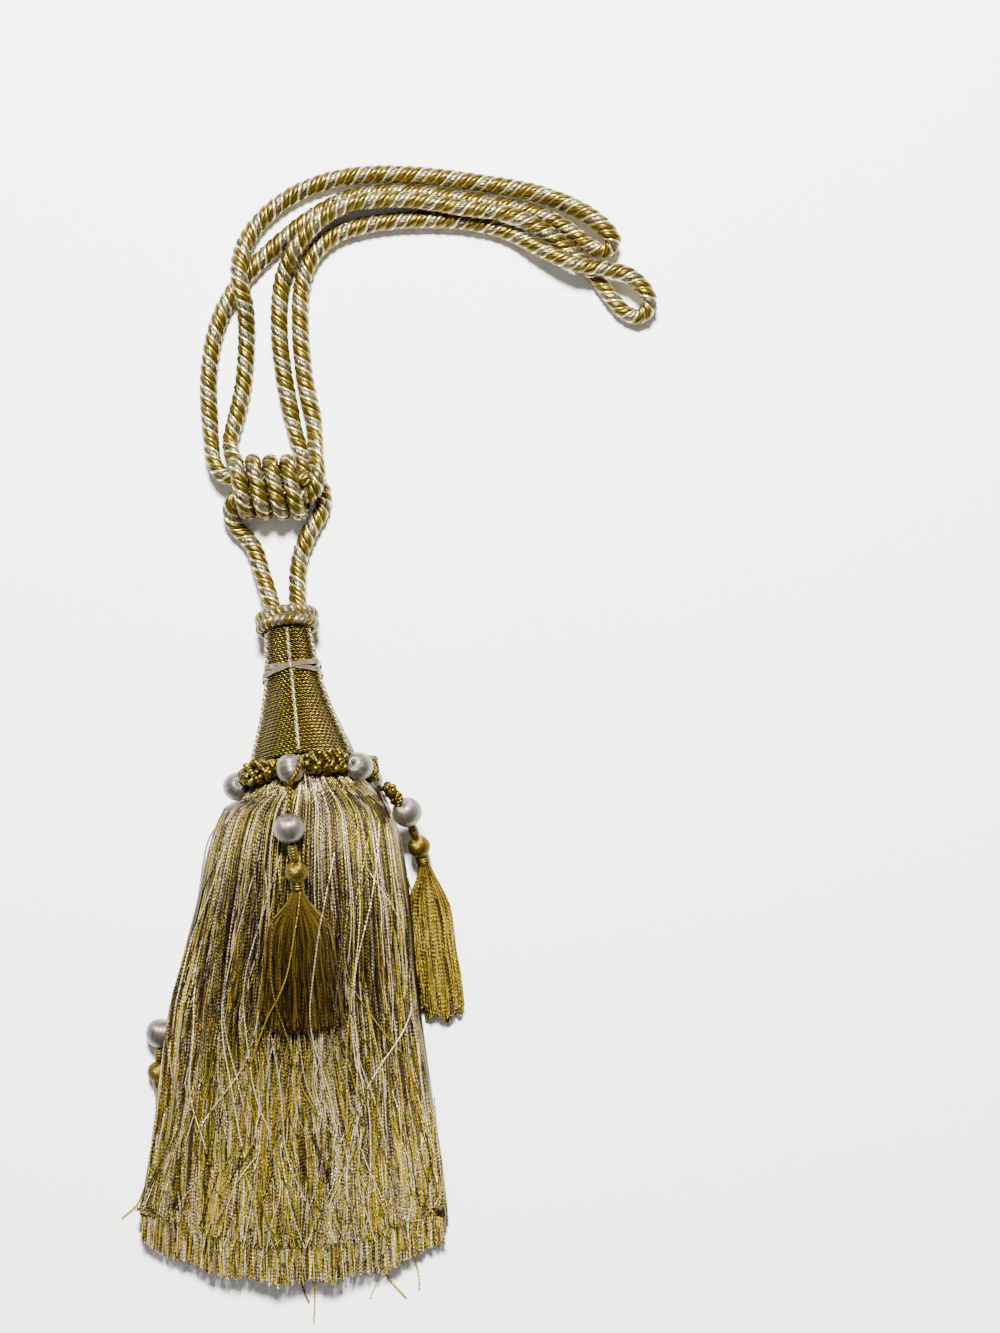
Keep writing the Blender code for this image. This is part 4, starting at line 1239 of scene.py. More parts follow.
@dataclass(frozen=True)
class Gimp:
    """A length of gimp, which is knitted from looping cords.

    Attributes:
        wardrobe: The materials.
        name: The piece's name.
        node: The node that it replaces.
        cord: Radius of a cord.
        seed: Number that sets how uneven it is.
        cords: How many cords loop round each other.
        sides: Points in a cord's ring, three to each strand.
        swing: How far a loop runs back along the gimp, in stitches.
    """

    wardrobe: Wardrobe
    name: str
    node: str
    cord: float
    seed: int
    cords: int = 4
    sides: int = 9
    swing: float = 0.12

    def knit(self, along: Callable[[Array, Array, Array], Array], stitches: Array,
             size: Array, knots: float) -> None:
        """Builds the looping cords as one piece.

        Args:
            along: Gives points from distances across, out and along.
            stitches: Stitches made at each point.
            size: Thickness at each point.
            knots: Stitches in the whole length.
        """
        chance = np.random.default_rng(200 + self.seed)
        skin = Skin(self.wardrobe)
        side = np.arange(self.sides)
        profile = np.where(side % 3 == 0, 0.7, 1.0)
        strand_tone = np.where(side // 3 == 1, 0.2, -0.1)
        for k in range(self.cords):
            phase = (2.0 * math.pi * (stitches + k / self.cords)
                     + 0.7 * np.sin(1.3 * stitches + k))
            uneven = 1.0 + 0.16 * np.sin(2.3 * stitches + chance.uniform(0.0, 6.0))
            across = (size - self.cord) * 0.92 * np.sin(phase) * uneven
            out = (size - self.cord) * 0.72 * np.cos((1.0 + k % 2) * phase + 0.7 * k)
            push = self.swing / knots * np.sin(2.0 * phase + 1.1 * k)
            path = along(across, out, push)
            rings = tube_rings(path[None], self.cord * (0.95 + 0.1 * chance.random()),
                               self.sides, 4.5 * stitches, profile, (0.2, 0.3, 1.0))
            skin.add(rings, 0, (0.40 + 0.07 * k + strand_tone)[None, None],
                     arc=run_along(path)[None, :, None])
        skin.make(self.name, [Thread.GIMP_GOLD], "gold_thread", self.node)


@dataclass(frozen=True)
class Bead:
    """A bead wrapped with silk from hole to hole.

    Attributes:
        wardrobe: The materials.
        name: The piece's name.
        node: The node that it replaces.
        centre: The bead's middle.
        hole: Direction of its hole.
        radius: Its radius.
        threads: Threads counted round it.
        sides: Points in a ring.
        rows: Rings from hole to hole.
        bore: Angle from the hole's middle to the first ring.
        unrest: How unevenly the silk lies.
        sunk: How far the silk lies below the full radius.
    """

    wardrobe: Wardrobe
    name: str
    node: str
    centre: Array
    hole: Array
    radius: float
    threads: int = 110
    sides: int = 72
    rows: int = 25
    bore: float = 0.06
    unrest: float = 0.016
    sunk: float = 0.08

    def build(self) -> None:
        """Builds the bead with its uneven silk and its dimpled holes."""
        axis = unit(self.hole)
        across = unit(np.cross(axis, (0.3, 0.2, 1.0)))
        up = np.cross(axis, across)
        tilt = np.linspace(self.bore, math.pi - self.bore, self.rows)[:, None]
        lean = 0.22 * np.sin(tilt * 1.3 + self.centre[0])
        around = full_turn(self.sides)[None, :] + lean
        chance = np.random.default_rng(int(abs(self.centre[0] * 10)) + 5)
        # A few waves round the bead leave some of the silk higher than the rest.
        waves = chance.normal(0.0, 1.0, (5, 1, 1)) * np.sin(
            np.arange(5, 30, 5)[:, None, None] * around + chance.uniform(0, 6, (5, 1, 1)))
        rise = self.unrest * waves.sum(axis=0)
        reach = self.radius - self.sunk + rise * np.sin(tilt)
        dimple = 1.0 - 0.14 * np.exp(-(np.minimum(tilt, math.pi - tilt) / 0.3) ** 2)
        place = -reach * np.cos(tilt) * dimple
        rings = beside(self.centre + axis * place[..., None], across, up,
                       reach * np.sin(tilt), around)
        skin = Skin(self.wardrobe)
        skin.add(rings[None], 0, (0.5 + 2.2 * rise)[None],
                 lap=yarns_across(self.sides, self.threads))
        skin.make(self.name, [Thread.CREAM_SILK], "cream_silk", self.node)


# ================================================================ skirts
@dataclass
class SkirtShape:
    """The flattened bundle that the main skirt's threads fill.

    A station is y, left edge, right edge, height of the middle, underside and the lift of the left
    side over the tassel that lies under it. A fold is a patch of painted light and shade: x, y,
    half its width, half its length and how much lighter its threads are, below zero for painted
    shade. A band of painted light and shade is y and how much lighter the threads are there.
    """

    stations: tuple = (
        (59.0, -30.5, 39.0, 58.6, 5.0, 2.0), (48.0, -35.4, 42.0, 57.4, 4.0, 4.5),
        (38.0, -38.0, 43.6, 55.4, 2.6, 6.2), (20.0, -42.0, 46.0, 50.4, 0.0, 9.5),
        (-6.0, -48.4, 47.8, 40.6, 0.0, 13.0), (-22.0, -52.0, 49.4, 35.6, 0.0, 15.0),
        (-75.0, -59.6, 56.4, 22.6, 0.0, 12.0), (-112.0, -66.0, 61.0, 17.2, 0.0, 5.0),
        (-135.0, -68.5, 62.6, 14.0, 0.0, 0.0))
    # Patches of painted light and painted shade on the skirt's threads, not real folds.
    folds: tuple = (
        (24.0, 54.0, 13.0, 11.0, 0.20), (-14.0, 58.0, 12.0, 12.0, 0.10),
        (-30.0, 36.0, 8.0, 16.0, 0.12), (-18.0, 16.0, 11.0, 26.0, -0.12),
        (21.0, 4.0, 13.0, 28.0, -0.14), (-3.0, -60.0, 16.0, 22.0, 0.26),
        (17.0, -92.0, 8.0, 22.0, -0.26), (-34.0, -88.0, 9.0, 18.0, -0.12),
        (42.0, -66.0, 9.0, 34.0, 0.10), (-45.0, -66.0, 7.0, 20.0, -0.10))
    # Painted light and shade along the skirt: darker under the ruff and in a broad band below the
    # shoulder, lighter at the shoulder and towards the hem.
    light_and_shade_bands: tuple = (
        (-145.0, 0.10), (-124.0, 0.06), (-90.0, 0.02), (-62.0, -0.03), (-46.0, -0.25),
        (-25.0, -0.50), (10.0, -0.58), (28.0, -0.53), (40.0, -0.37), (50.0, -0.20),
        (60.0, -0.23), (66.0, -0.45), (76.0, -0.66))
    crown: float = 0.62
    least_depth: float = 7.5
    hem_middle: float = -142.6
    hem_rise: float = 17.0

    def at(self, y: Array | float) -> list[Array]:
        """Gives the edges, height, underside and lift at places along the skirt."""
        table = np.array(self.stations)[::-1]
        return [np.interp(y, table[:, 0], table[:, n]) for n in range(1, 6)]

    def sections(self) -> list[float]:
        """Lists the places along the skirt that every thread passes."""
        return [station[0] for station in self.stations[:-1]]

    def hem(self, u: Array) -> Array:
        """Gives where the hem is at places across the skirt."""
        return self.hem_middle + self.hem_rise * np.abs(u) ** 2.2

    def limits(self, y: Array | float, u: Array | float) -> tuple[Array, Array]:
        """Gives the underside and top at places across the skirt.

        Args:
            y: Place along the skirt.
            u: Place across it, from -1 to 1.

        Returns:
            The heights of its underside and of its top.
        """
        _, _, height, underside, lift = self.at(y)
        share = np.clip((-np.asarray(u) - 0.35) / 0.3, 0.0, 1.0)
        low = underside + lift * share ** 2 * (3.0 - 2.0 * share)
        high = height * (1.0 - self.crown * np.asarray(u) ** 2)
        return low, np.maximum(high, low + self.least_depth)

    def across(self, y: Array | float, u: Array) -> Array:
        """Gives x at places across the skirt, from -1 to 1."""
        left, right = self.at(y)[:2]
        return left + (right - left) * (u + 1.0) / 2.0

    def place(self, y: Array | float, u: Array, v: Array) -> Array:
        """Puts threads in the upright section at y.

        Args:
            y: Place along the skirt.
            u: Place across it, from -1 to 1.
            v: Place from its underside, -1, to its top, 1.

        Returns:
            The points, as (threads, 3).
        """
        low, high = self.limits(y, u)
        z = low + (high - low) * (v + 1.0) / 2.0
        return np.stack(np.broadcast_arrays(self.across(y, u), y, z), axis=-1)

    def painted_light_and_shade(self, paths: Array) -> Array:
        """Gives the painted light and shade: how much lighter the threads are than their own tone.

        Args:
            paths: Points of the threads.

        Returns:
            What is added to the tone at each point.
        """
        x, y = paths[..., 0], paths[..., 1]
        # Painted light and shade along the skirt, then its patches.
        change = np.interp(y, *zip(*self.light_and_shade_bands))
        # Each fold adds painted light where its amount is above zero and painted shade where it is
        # below.
        for patch_x, patch_y, wide, long, amount in self.folds:
            change = change + amount * np.exp(-((x - patch_x) / wide) ** 2
                                              - ((y - patch_y) / long) ** 2)
        return change

    def top(self, x: Array | float, y: Array | float) -> Array:
        """Gives the height of the skirt's upper side.

        Args:
            x: Place across the skirt, in millimetres.
            y: Place along it.

        Returns:
            The height.
        """
        left, right = self.at(y)[:2]
        u = np.clip(2.0 * (x - left) / (right - left) - 1.0, -1.0, 1.0)
        return self.limits(y, u)[1]


@dataclass(frozen=True)
class Layer:
    """A group of the main skirt's threads, as locks or as single threads.

    Attributes:
        name: The group's name.
        low: The lowest one's place, from -1, the underside, to 1, the top.
        high: The highest one's place.
        count: How many there are.
        samples: Points along each.
        lift: How much higher than the longest threads their ends stop.
        half: Half the width of a lock, or a thread's radius.
        threads: Threads round a lock, or 1.
        loose: How far they wave.
    """

    name: str
    low: float
    high: float
    count: int
    samples: int
    lift: float
    half: float
    threads: int
    loose: float


class Layers(Enum):
    """The main skirt's groups of threads, from the floor up."""

    UNDER = Layer("skirt_under", -1.0, -0.8, 60, 10, 5.0, 2.2, 18, 0.25)
    CORE = Layer("skirt_core", -0.75, 0.8, 110, 12, 5.0, 2.2, 18, 0.3)
    UPPER = Layer("skirt_upper", 0.6, 0.80, 210, 16, 7.0, 1.9, 16, 0.5)
    TOP = Layer("skirt_top", 0.9, 0.97, 160, 20, 22.0, 1.8, 16, 0.6)
    SINGLE = Layer("skirt_single", 0.92, 1.02, 1100, 24, 16.5, 0.29, 1, 1.0)
    FACE = Layer("skirt_face", 0.99, 1.04, 320, 26, 17.0, 0.28, 1, 1.6)
    LOOSE = Layer("skirt_loose", 1.02, 1.08, 200, 34, 15.0, 0.29, 1, 2.8)


@dataclass
class MainSkirt:
    """The long skirt of loose twisted threads."""

    wardrobe: Wardrobe
    head: Head
    shape: SkirtShape = field(default_factory=SkirtShape)
    root_place: float = 63.6
    root_radius: float = 21.1
    spreads: tuple[float, ...] = (0.006, 0.012, 0.016, 0.022, 0.03, 0.036, 0.05, 0.055)
    threads: tuple[Thread, ...] = (Thread.SKIRT_GOLD, Thread.SKIRT_CREAM, Thread.SKIRT_OLIVE)
    edge_share: float = 0.14
    light_share: float = 0.27
    end_thread: float = 0.31
    end_samples: int = 8
    crossing_thread: float = 0.3
    crossing_count: int = 40
    crossing_samples: int = 48

    def disc(self, u: Array, v: Array, place: float, width: float,
             height: Array | float | None = None) -> Array:
        """Puts threads on a disc across the head's axis.

        Args:
            u: Place across, from -1 to 1.
            v: Place upward, from -1 to 1.
            place: Distance of the disc down the axis.
            width: The disc's radius across.
            height: Its radius upward, if it isn't round.

        Returns:
            The points.
        """
        x, z = on_disc(u, v)
        x, z = x * width, z * (width if height is None else height)
        return (np.array(self.head.top) + self.head.axis * place
                + self.head.right * x[:, None] + self.head.up * z[:, None])

    def upper_stations(self, u: Array, v: Array) -> list[Array]:
        """Gives the places where threads leave the head and pass the ruff."""
        return [self.disc(u, v, self.root_place, self.root_radius),
                self.disc(u, v, 70.0, 22.6, 20.6 + 1.4 * np.clip(v, 0.0, 1.0)),
                self.disc(u, v, 76.5, 28.5, 18.6 + 6.8 * np.clip(v, 0.0, 1.0))]

    def paths(self, layer: Layer, u: Array, v: Array, chance: np.random.Generator) -> Array:
        """Hangs threads from the head and lays them down.

        Args:
            layer: The group of threads.
            u: Place of each thread across the skirt.
            v: Place of each thread from underside to top.
            chance: Source of the threads' own waywardness.

        Returns:
            The threads' paths.
        """
        count = len(u)
        drift = np.clip(chance.normal(0.0, 1.0, (count, 2)), -1.6, 1.6)
        stations = self.upper_stations(u, np.clip(v, -1.0, 1.0))
        gathers = 0.018 * np.sin(31.0 * u + 2.0 * layer.low) + 0.012 * np.sin(67.0 * u)
        for y, spread in zip(self.shape.sections(), self.spreads):
            across = u + (drift[:, 0] * spread + gathers * spread * 22.0) * (1.0 - u * u)
            stations.append(self.shape.place(y, across, v))
        hem = (self.shape.hem(u) + layer.lift + 1.2 * np.sin(17.0 * u + 3.0 * layer.low)
               + chance.normal(0.0, 0.9, count))
        across = u + (drift[:, 0] * 0.06 + drift[:, 1] * 0.02) * (1.0 - np.abs(u) ** 3)
        stations.append(self.shape.place(hem, across, v))
        return through_stations(np.stack(stations, axis=1), layer.samples)

    def ruffle(self, paths: Array, u: Array, layer: Layer,
               chance: np.random.Generator) -> Array:
        """Adds each thread's waves and crinkles.

        Args:
            paths: The smooth paths.
            u: Place of each thread across the skirt.
            layer: The group of threads.
            chance: Source of the waves.

        Returns:
            The wavy paths.
        """
        count, samples, _ = paths.shape
        t = np.linspace(0.0, 1.0, samples)[None, :]
        phase = chance.uniform(0.0, 2.0 * math.pi, (count, 4))
        together = (9.0 * u)[:, None]
        wave = chance.uniform(1.2, 2.6, (count, 1))
        crimp = np.minimum(chance.uniform(6.0, 10.0, (count, 1)), samples / 3.4)
        # The ruff holds the threads, which wave more the farther they hang below it.
        low_down = np.clip((t - 0.25) / 0.75, 0.0, 1.0)
        swing = (0.1 + 1.7 * low_down ** 1.2) * layer.loose
        crinkle = (0.04 + 0.5 * low_down) * chance.uniform(0.2, 1.4, (count, 1)) * layer.loose
        x = (swing * (0.8 * np.sin(2 * math.pi * wave * t + phase[:, :1])
                      + 0.7 * np.sin(4.4 * math.pi * t + together))
             + crinkle * np.sin(2 * math.pi * crimp * t + phase[:, 1:2]))
        z = (0.35 * swing * np.sin(2 * math.pi * wave * t + phase[:, 2:3])
             + 0.6 * crinkle * np.sin(2 * math.pi * crimp * t + phase[:, 3:4]))
        edge = (1.0 - 0.55 * np.abs(u) ** 6)[:, None]
        moved = paths.copy()
        moved[..., 0] += x * edge
        moved[..., 2] += z
        return moved

    def lean(self, u: Array, v: Array, paths: Array) -> Array:
        """Gives how far a flat lock leans so that it lies on the skirt's side.

        Args:
            u: Place of each lock across the skirt.
            v: Place of each from underside to top.
            paths: Their paths.

        Returns:
            The lean at each point, in radians.
        """
        left, right, height = self.shape.at(paths[..., 1])[:3]
        slope = -2.0 * self.shape.crown * u[:, None] * height / (0.5 * (right - left))
        return np.arctan(slope * np.clip(0.5 * v + 0.5, 0.0, 1.0)[:, None])

    def make(self, skin: Skin, name: str) -> None:
        """Makes a piece of the skirt from its skin."""
        skin.make(name, self.threads, "skirt_thread", "skirt")

    def build(self) -> None:
        """Builds the skirt's layers, its close middle, its ends and its longest threads."""
        for number, member in enumerate(Layers):
            layer = member.value
            chance = np.random.default_rng(40 + number)
            count = layer.count
            u = chance.uniform(-1.0, 1.0, count)
            # Some threads gather at the skirt's two sides.
            edge = chance.random(count) < self.edge_share
            u = np.where(edge, np.sign(u) * (1.0 - 0.08 * chance.random(count)), u)
            v = chance.uniform(layer.low, layer.high, count)
            paths = self.ruffle(self.paths(layer, u, v, chance), u, layer, chance)
            # The three colours lie in loose bands across the skirt.
            pick = (0.55 * np.sin(u * 23.0 + number) + 0.4 * np.sin(u * 9.0 + 2.0 * number)
                    + 0.4 * np.sin(3.0 * u + 0.3) + chance.normal(0.0, 0.9, count)
                    + (0.7 if layer.loose > 2.0 else 0.0))
            slots = np.where(pick > 0.8, 1, np.where(pick < -0.8, 2, 0))
            skin = Skin(self.wardrobe)
            self.add_threads(skin, layer, paths, self.lean(u, v, paths), slots, chance)
            self.make(skin, layer.name)
        self.build_heart()
        self.build_ends()
        self.build_crossing()

    def add_threads(self, skin: Skin, layer: Layer, paths: Array, lean: Array,
                    slots: Array, chance: np.random.Generator) -> None:
        """Adds a layer's locks or threads.

        Args:
            skin: The skin that they are added to.
            layer: The group of threads.
            paths: Their paths.
            lean: How far each lock leans at each point.
            slots: The material slot of each.
            chance: Source of their own differences.
        """
        count, samples, _ = paths.shape
        tones = self.tones(paths, chance)[..., None]
        arc = run_along(paths)[..., None] + chance.uniform(0.0, 3.0, (count, 1, 1))
        if layer.threads == 1:
            keep_above(paths, layer.half)
            skin.add_threads(paths, layer.half, any_turn(chance, count), slots, tones, arc=arc)
            return
        lock = Lock(layer.threads, flat=0.4, ragged=0.4)
        t = np.linspace(0.0, 1.0, samples)
        width = layer.half * np.interp(t, [0.0, 0.25, 1.0], [0.6, 0.85, 1.0])
        width = width[None] * chance.uniform(0.75, 1.2, (count, 1))
        keep_above(paths, layer.half * lock.flat)
        skin.add(lock.rings(paths, width, lean, chance), slots, tones, lap=lock.laps(count),
                 arc=arc)

    def tones(self, paths: Array, chance: np.random.Generator) -> Array:
        """Gives the threads' tones; a few are much lighter than the rest, and painted light and
        shade is added along the skirt.

        Args:
            paths: The threads' paths.
            chance: Source of their own tones.

        Returns:
            The tone of each thread at each point.
        """
        count = len(paths)
        own = np.where(chance.random(count) < self.light_share,
                       chance.normal(1.10, 0.15, count), chance.normal(0.10, 0.13, count))
        # Adds the painted light and shade that lies along the skirt.
        return own[:, None] + self.shape.painted_light_and_shade(paths)

    def build_ends(self) -> None:
        """Builds the close rows of thread ends in the hem's two steps."""
        for name, low, high, lift, reach, count in (
                ("skirt_hem_ends", -0.95, 0.87, 0.0, 34.0, 1350),
                ("skirt_step_ends", 0.93, 1.03, 17.0, 44.0, 900)):
            chance = np.random.default_rng(count)
            u = chance.uniform(-1.0, 1.0, count)
            # Most ends lie near the step's top, where they are seen.
            v = np.where(chance.random(count) < 0.7, high, low)
            v = v + (chance.uniform(low, high, count) - v) * chance.random(count) ** 2
            hem = self.shape.hem(u) + lift + np.sin(17.0 * u) + chance.normal(0.0, 0.8, count)
            slide = chance.normal(0.0, 0.012, (count, 2))
            stations = np.stack([
                self.shape.place(hem + reach, u + slide[:, 0], v - 0.25),
                self.shape.place(hem + 0.55 * reach, u + slide[:, 1], v),
                self.shape.place(hem, u, v)], axis=1)
            paths = through_stations(stations, self.end_samples)
            t = np.linspace(0.0, 1.0, self.end_samples)[None]
            paths[..., 0] += 0.35 * np.sin(5.0 * t + any_turn(chance, count))
            paths[..., 2] += 0.9 * np.abs(u)[:, None] ** 4
            keep_above(paths, 0.3)
            slots = np.where(chance.random(count) < 0.42, 1,
                             np.where(chance.random(count) < 0.2, 2, 0))
            turn = any_turn(chance, count)
            skin = Skin(self.wardrobe)
            skin.add_threads(paths, self.end_thread, turn, slots,
                             self.tones(paths, chance)[..., None])
            self.make(skin, name)

    def build_crossing(self) -> None:
        """Builds the long threads that wander across the skirt's face."""
        count = self.crossing_count
        chance = np.random.default_rng(5)
        start = chance.uniform(-0.9, 0.9, count)
        drift = np.clip(chance.normal(0.0, 0.26, count), -0.4, 0.4)
        bow = chance.normal(0.0, 0.2, count)
        ends = chance.uniform(-128.0, -30.0, count)
        first = chance.uniform(30.0, 54.0, count)
        t = np.linspace(0.0, 1.0, self.crossing_samples)[None, :]
        curl = chance.uniform(0.01, 0.05, (count, 1)) * t
        u = (start[:, None] + drift[:, None] * t ** 1.5 + bow[:, None] * np.sin(math.pi * t)
             + curl * np.sin(14.0 * t + 7.0 * start[:, None]))
        u = np.clip(u, -0.97, 0.97)
        y = first[:, None] + (ends - first)[:, None] * t
        x, high = self.shape.across(y, u), self.shape.limits(y, u)[1]
        # Some of them pass over the front drop, which lies on the skirt.
        over = np.exp(-((x - 3.0) / 17.0) ** 4 - ((y - 2.0) / 40.0) ** 4)
        over = np.where(chance.random((count, 1)) < 0.4, over, 0.0)
        rise = 0.9 + 1.6 * np.sin(math.pi * t) * chance.random((count, 1)) + 7.4 * over
        paths = np.stack([x, y, high + rise], axis=-1)
        turn = any_turn(chance, count)
        slots = np.where(chance.random(count) < 0.6, 1, 0)
        own = chance.normal(0.7, 0.2, (count, 1, 1))
        skin = Skin(self.wardrobe)
        # The crossing threads' tone takes the painted light and shade along the skirt.
        skin.add_threads(paths, self.crossing_thread, turn, slots,
                         own + self.shape.painted_light_and_shade(paths)[..., None], sides=4)
        self.make(skin, "skirt_crossing")

    def build_heart(self) -> None:
        """Builds the close mass of threads in the middle of the skirt."""
        sides, rows = 160, 46
        yarns, length = 300.0, 250.0
        turn = full_turn(sides)
        chance = np.random.default_rng(77)
        # The section is a folded outline, rounder than a square and fuller than a disc.
        folds = 0.02 * np.sin(19.0 * turn) + 0.012 * np.sin(47.0 * turn + 1.0)
        square = np.maximum(np.abs(np.cos(turn)), np.abs(np.sin(turn))) ** 0.35
        u = np.clip(np.cos(turn) * (0.93 + folds) / square, -0.96, 0.96)
        v = np.clip(np.sin(turn) * (0.80 + folds) / square, -0.9, 0.86)
        stations = self.upper_stations(u, v)
        stations += [self.shape.place(y, u, v) for y in self.shape.sections()]
        hem = (self.shape.hem(u) + 8.0 + 9.0 * np.clip(v, 0.0, 1.0) ** 2
               + chance.normal(0.0, 0.5, sides))
        stations.append(self.shape.place(hem, u, v * 0.86))
        paths = through_stations(np.stack(stations, axis=1), rows)
        keep_above(paths, 0.2)
        t = np.linspace(0.0, 1.0, rows)
        grain = np.clip(0.42 + 0.15 * np.sin(29.0 * turn) + chance.normal(0.0, 0.1, sides),
                        0.0, 1.0)
        skin = Skin(self.wardrobe)
        # The heart's tone takes the painted light and shade along the skirt.
        skin.add(np.swapaxes(paths, 0, 1)[None], 0,
                 grain[None, None] + np.swapaxes(self.shape.painted_light_and_shade(paths), 0, 1)[None],
                 lap=yarns_across(sides, yarns), arc=(length * t)[None, :, None])
        self.make(skin, "skirt_heart")


@dataclass
class Drop:
    """A small tassel on a cord with a bead: where it hangs and how it lies."""

    wardrobe: Wardrobe
    name: str
    bead: tuple[float, float, float]
    ball: tuple[float, float, float]
    neck_end: tuple[float, float, float]
    skirt_end: tuple[float, float, float]
    end_half: float
    end_height: float
    cord: tuple
    thread_kind: Thread
    middle_spread: float = 0.56
    cord_radius: float = 1.06
    on_skirt: bool = False
    ball_radius: float = 4.6
    neck_radius: float = 2.6
    bead_radius: float = 6.45
    # Strength of the painted light near the ball and the painted shade lower down the tassel.
    painted_shade_strength: float = 0.0
    thread: float = 0.27
    samples: int = 16
    locks: int = 44
    singles: int = 260
    ribs: int = 24
    wrap_pitch: float = 0.95
    stub_pitch: float = 1.25
    stub_radius: float = 1.25
    stub_swell: float = 0.7
    stub_sides: int = 20
    cord_lay: float = 3.6
    stitch_length: float = 4.4
    gimp_cord: float = 0.8

    def build(self, shape: SkirtShape) -> None:
        """Builds the drop's cord, bead, stub and tassel.

        Args:
            shape: The main skirt, which the drop may lie on.
        """
        bead, ball = np.array(self.bead), np.array(self.ball)
        Bead(self.wardrobe, f"{self.name}_silk_bead", f"{self.name}_bead", bead, ball - bead,
             self.bead_radius).build()
        self.build_cord()
        self.build_stub()
        self.build_tassel(shape)

    def build_cord(self) -> None:
        """Builds the twisted cord or knotted gimp that carries the drop."""
        route = smooth_route(np.array(self.cord), 0.5)
        path = even_spaced(route, 0.3)
        node = f"{self.name}_cord"
        if self.cord_radius < 2.0:
            strands = twisted_pair(path, self.cord_radius * 0.48, self.cord_lay)
            skin = Skin(self.wardrobe)
            skin.add(tube_rings(strands, self.cord_radius * 0.52, 7), 0,
                     np.array([0.42, 0.62]))
            skin.make(f"{self.name}_twisted_cord", [Thread.GIMP_GOLD], "gold_thread", node)
            return
        side, up = across_frames(path[None], (0.3, 0.2, 1.0))
        t = np.linspace(0.0, 1.0, len(path))

        def along(across: Array, out: Array, push: Array) -> Array:
            """Places a loop beside the cord's own line."""
            slid = np.clip(t + push, 0.0, 1.0)
            middle = np.stack([np.interp(slid, t, column) for column in path.T], axis=1)
            return middle + side[0] * across[:, None] + up[0] * out[:, None]

        knots = run_along(route)[-1] / self.stitch_length
        gimp = Gimp(self.wardrobe, f"{self.name}_gimp_cord", node, self.gimp_cord, 9)
        gimp.knit(along, t * knots, np.full(len(path), self.cord_radius), knots)

    def build_stub(self) -> None:
        """Builds the wrapped stub between the bead and the ball."""
        bead, ball = np.array(self.bead), np.array(self.ball)
        along = unit(ball - bead)
        start = bead + along * (self.bead_radius + 0.2)
        end = ball - along * (self.ball_radius + 0.1)
        t = np.linspace(0.0, 1.0, 64)
        path = start + (end - start) * t[:, None]
        wraps = t * float(np.linalg.norm(end - start)) / self.stub_pitch
        swell = self.stub_swell * np.sin(math.pi * t) ** 0.6
        radius = self.stub_radius + swell + 0.22 * humps(wraps)
        skin = Skin(self.wardrobe)
        skin.add(tube_rings(path[None], radius, self.stub_sides), 0, 0.4,
                 lap=wraps[None, :, None], arc=np.arange(self.stub_sides + 1) * 0.6)
        skin.make(f"{self.name}_wrapped_stub", [Thread.GIMP_GOLD], "gold_thread",
                  f"{self.name}_stub")

    def build_tassel(self, shape: SkirtShape) -> None:
        """Builds the ball, the wrapped neck and the small skirt as one piece.

        Args:
            shape: The main skirt, which the drop may lie on.
        """
        chance = np.random.default_rng(sum(ord(letter) for letter in self.name))
        skin = Skin(self.wardrobe)
        self.add_ball(skin)
        t = np.linspace(0.0, 1.0, self.samples)
        # Painted light near the ball and painted shade lower down the tassel.
        painted_shading = 0.26 + self.painted_shade_strength * (1.3 - 2.0 * np.minimum(1.6 * t, 1.0))
        lock = Lock(14, flat=0.45, ragged=0.6)
        paths = self.paths(shape, chance, self.locks, 0.9)
        width = np.interp(t, [0.0, 0.4, 1.0], [0.7, 1.2, 1.5])
        rings = lock.rings(paths, width, 0.0, chance)
        own = chance.normal(0.0, 0.12, (self.locks, 1))
        skin.add(rings, 0, (own + painted_shading)[..., None], lap=lock.laps(self.locks),
                 arc=run_along(paths)[..., None])
        paths = self.paths(shape, chance, self.singles, 1.0)
        own = np.where(chance.random((self.singles, 1)) < 0.25, 0.6, -0.05)
        own = own + chance.normal(0.0, 0.12, (self.singles, 1))
        turn = any_turn(chance, self.singles)
        skin.add_threads(paths, self.thread, turn, 0, (own + painted_shading)[..., None])
        skin.make(f"{self.name}_thread_tassel", [self.thread_kind, Thread.GIMP_GOLD],
                  "gold_thread", f"{self.name}_tassel")

    def add_ball(self, skin: Skin) -> None:
        """Adds the ribbed ball and the wrapped neck.

        Args:
            skin: The tassel's skin.
        """
        ball, neck = np.array(self.ball), np.array(self.neck_end)
        axis = unit(neck - ball)
        across = unit(np.cross(axis, (0.05, 0.1, 1.0)))
        up = np.cross(axis, across)
        sides, rows = 64, 40
        reach = float(np.linalg.norm(neck - ball))
        place = np.linspace(-self.ball_radius * 0.98, reach, rows)[:, None]
        ball_part = np.sqrt(np.maximum(self.ball_radius ** 2 - place ** 2, 0.3))
        neck_part = np.where(place > 0.0, self.neck_radius + 0.1, 0.0)
        body = np.maximum(ball_part, neck_part)
        around = yarns_across(sides, 2.0 * math.pi) + 0.12 * place
        ribs = self.ribs * around / (2.0 * math.pi)
        wraps = place / self.wrap_pitch
        on_neck = place > self.ball_radius * 0.8
        radius = body + np.where(on_neck, 0.45 * humps(wraps), 0.34 * humps(ribs) - 0.2)
        rings = beside(ball + axis * place[..., None], across, up, radius, around)[:, :-1]
        # Painted shade in the grooves between the ribs and the wraps, lighter on their crests.
        tone = np.where(on_neck, 0.25 + 0.3 * humps(wraps), 0.2 + 0.4 * humps(ribs))
        lap = np.where(on_neck, wraps, ribs)
        skin.add(rings[None], 1, tone[None, :, :-1], lap=lap[None],
                 arc=np.broadcast_to(place, lap.shape)[None])

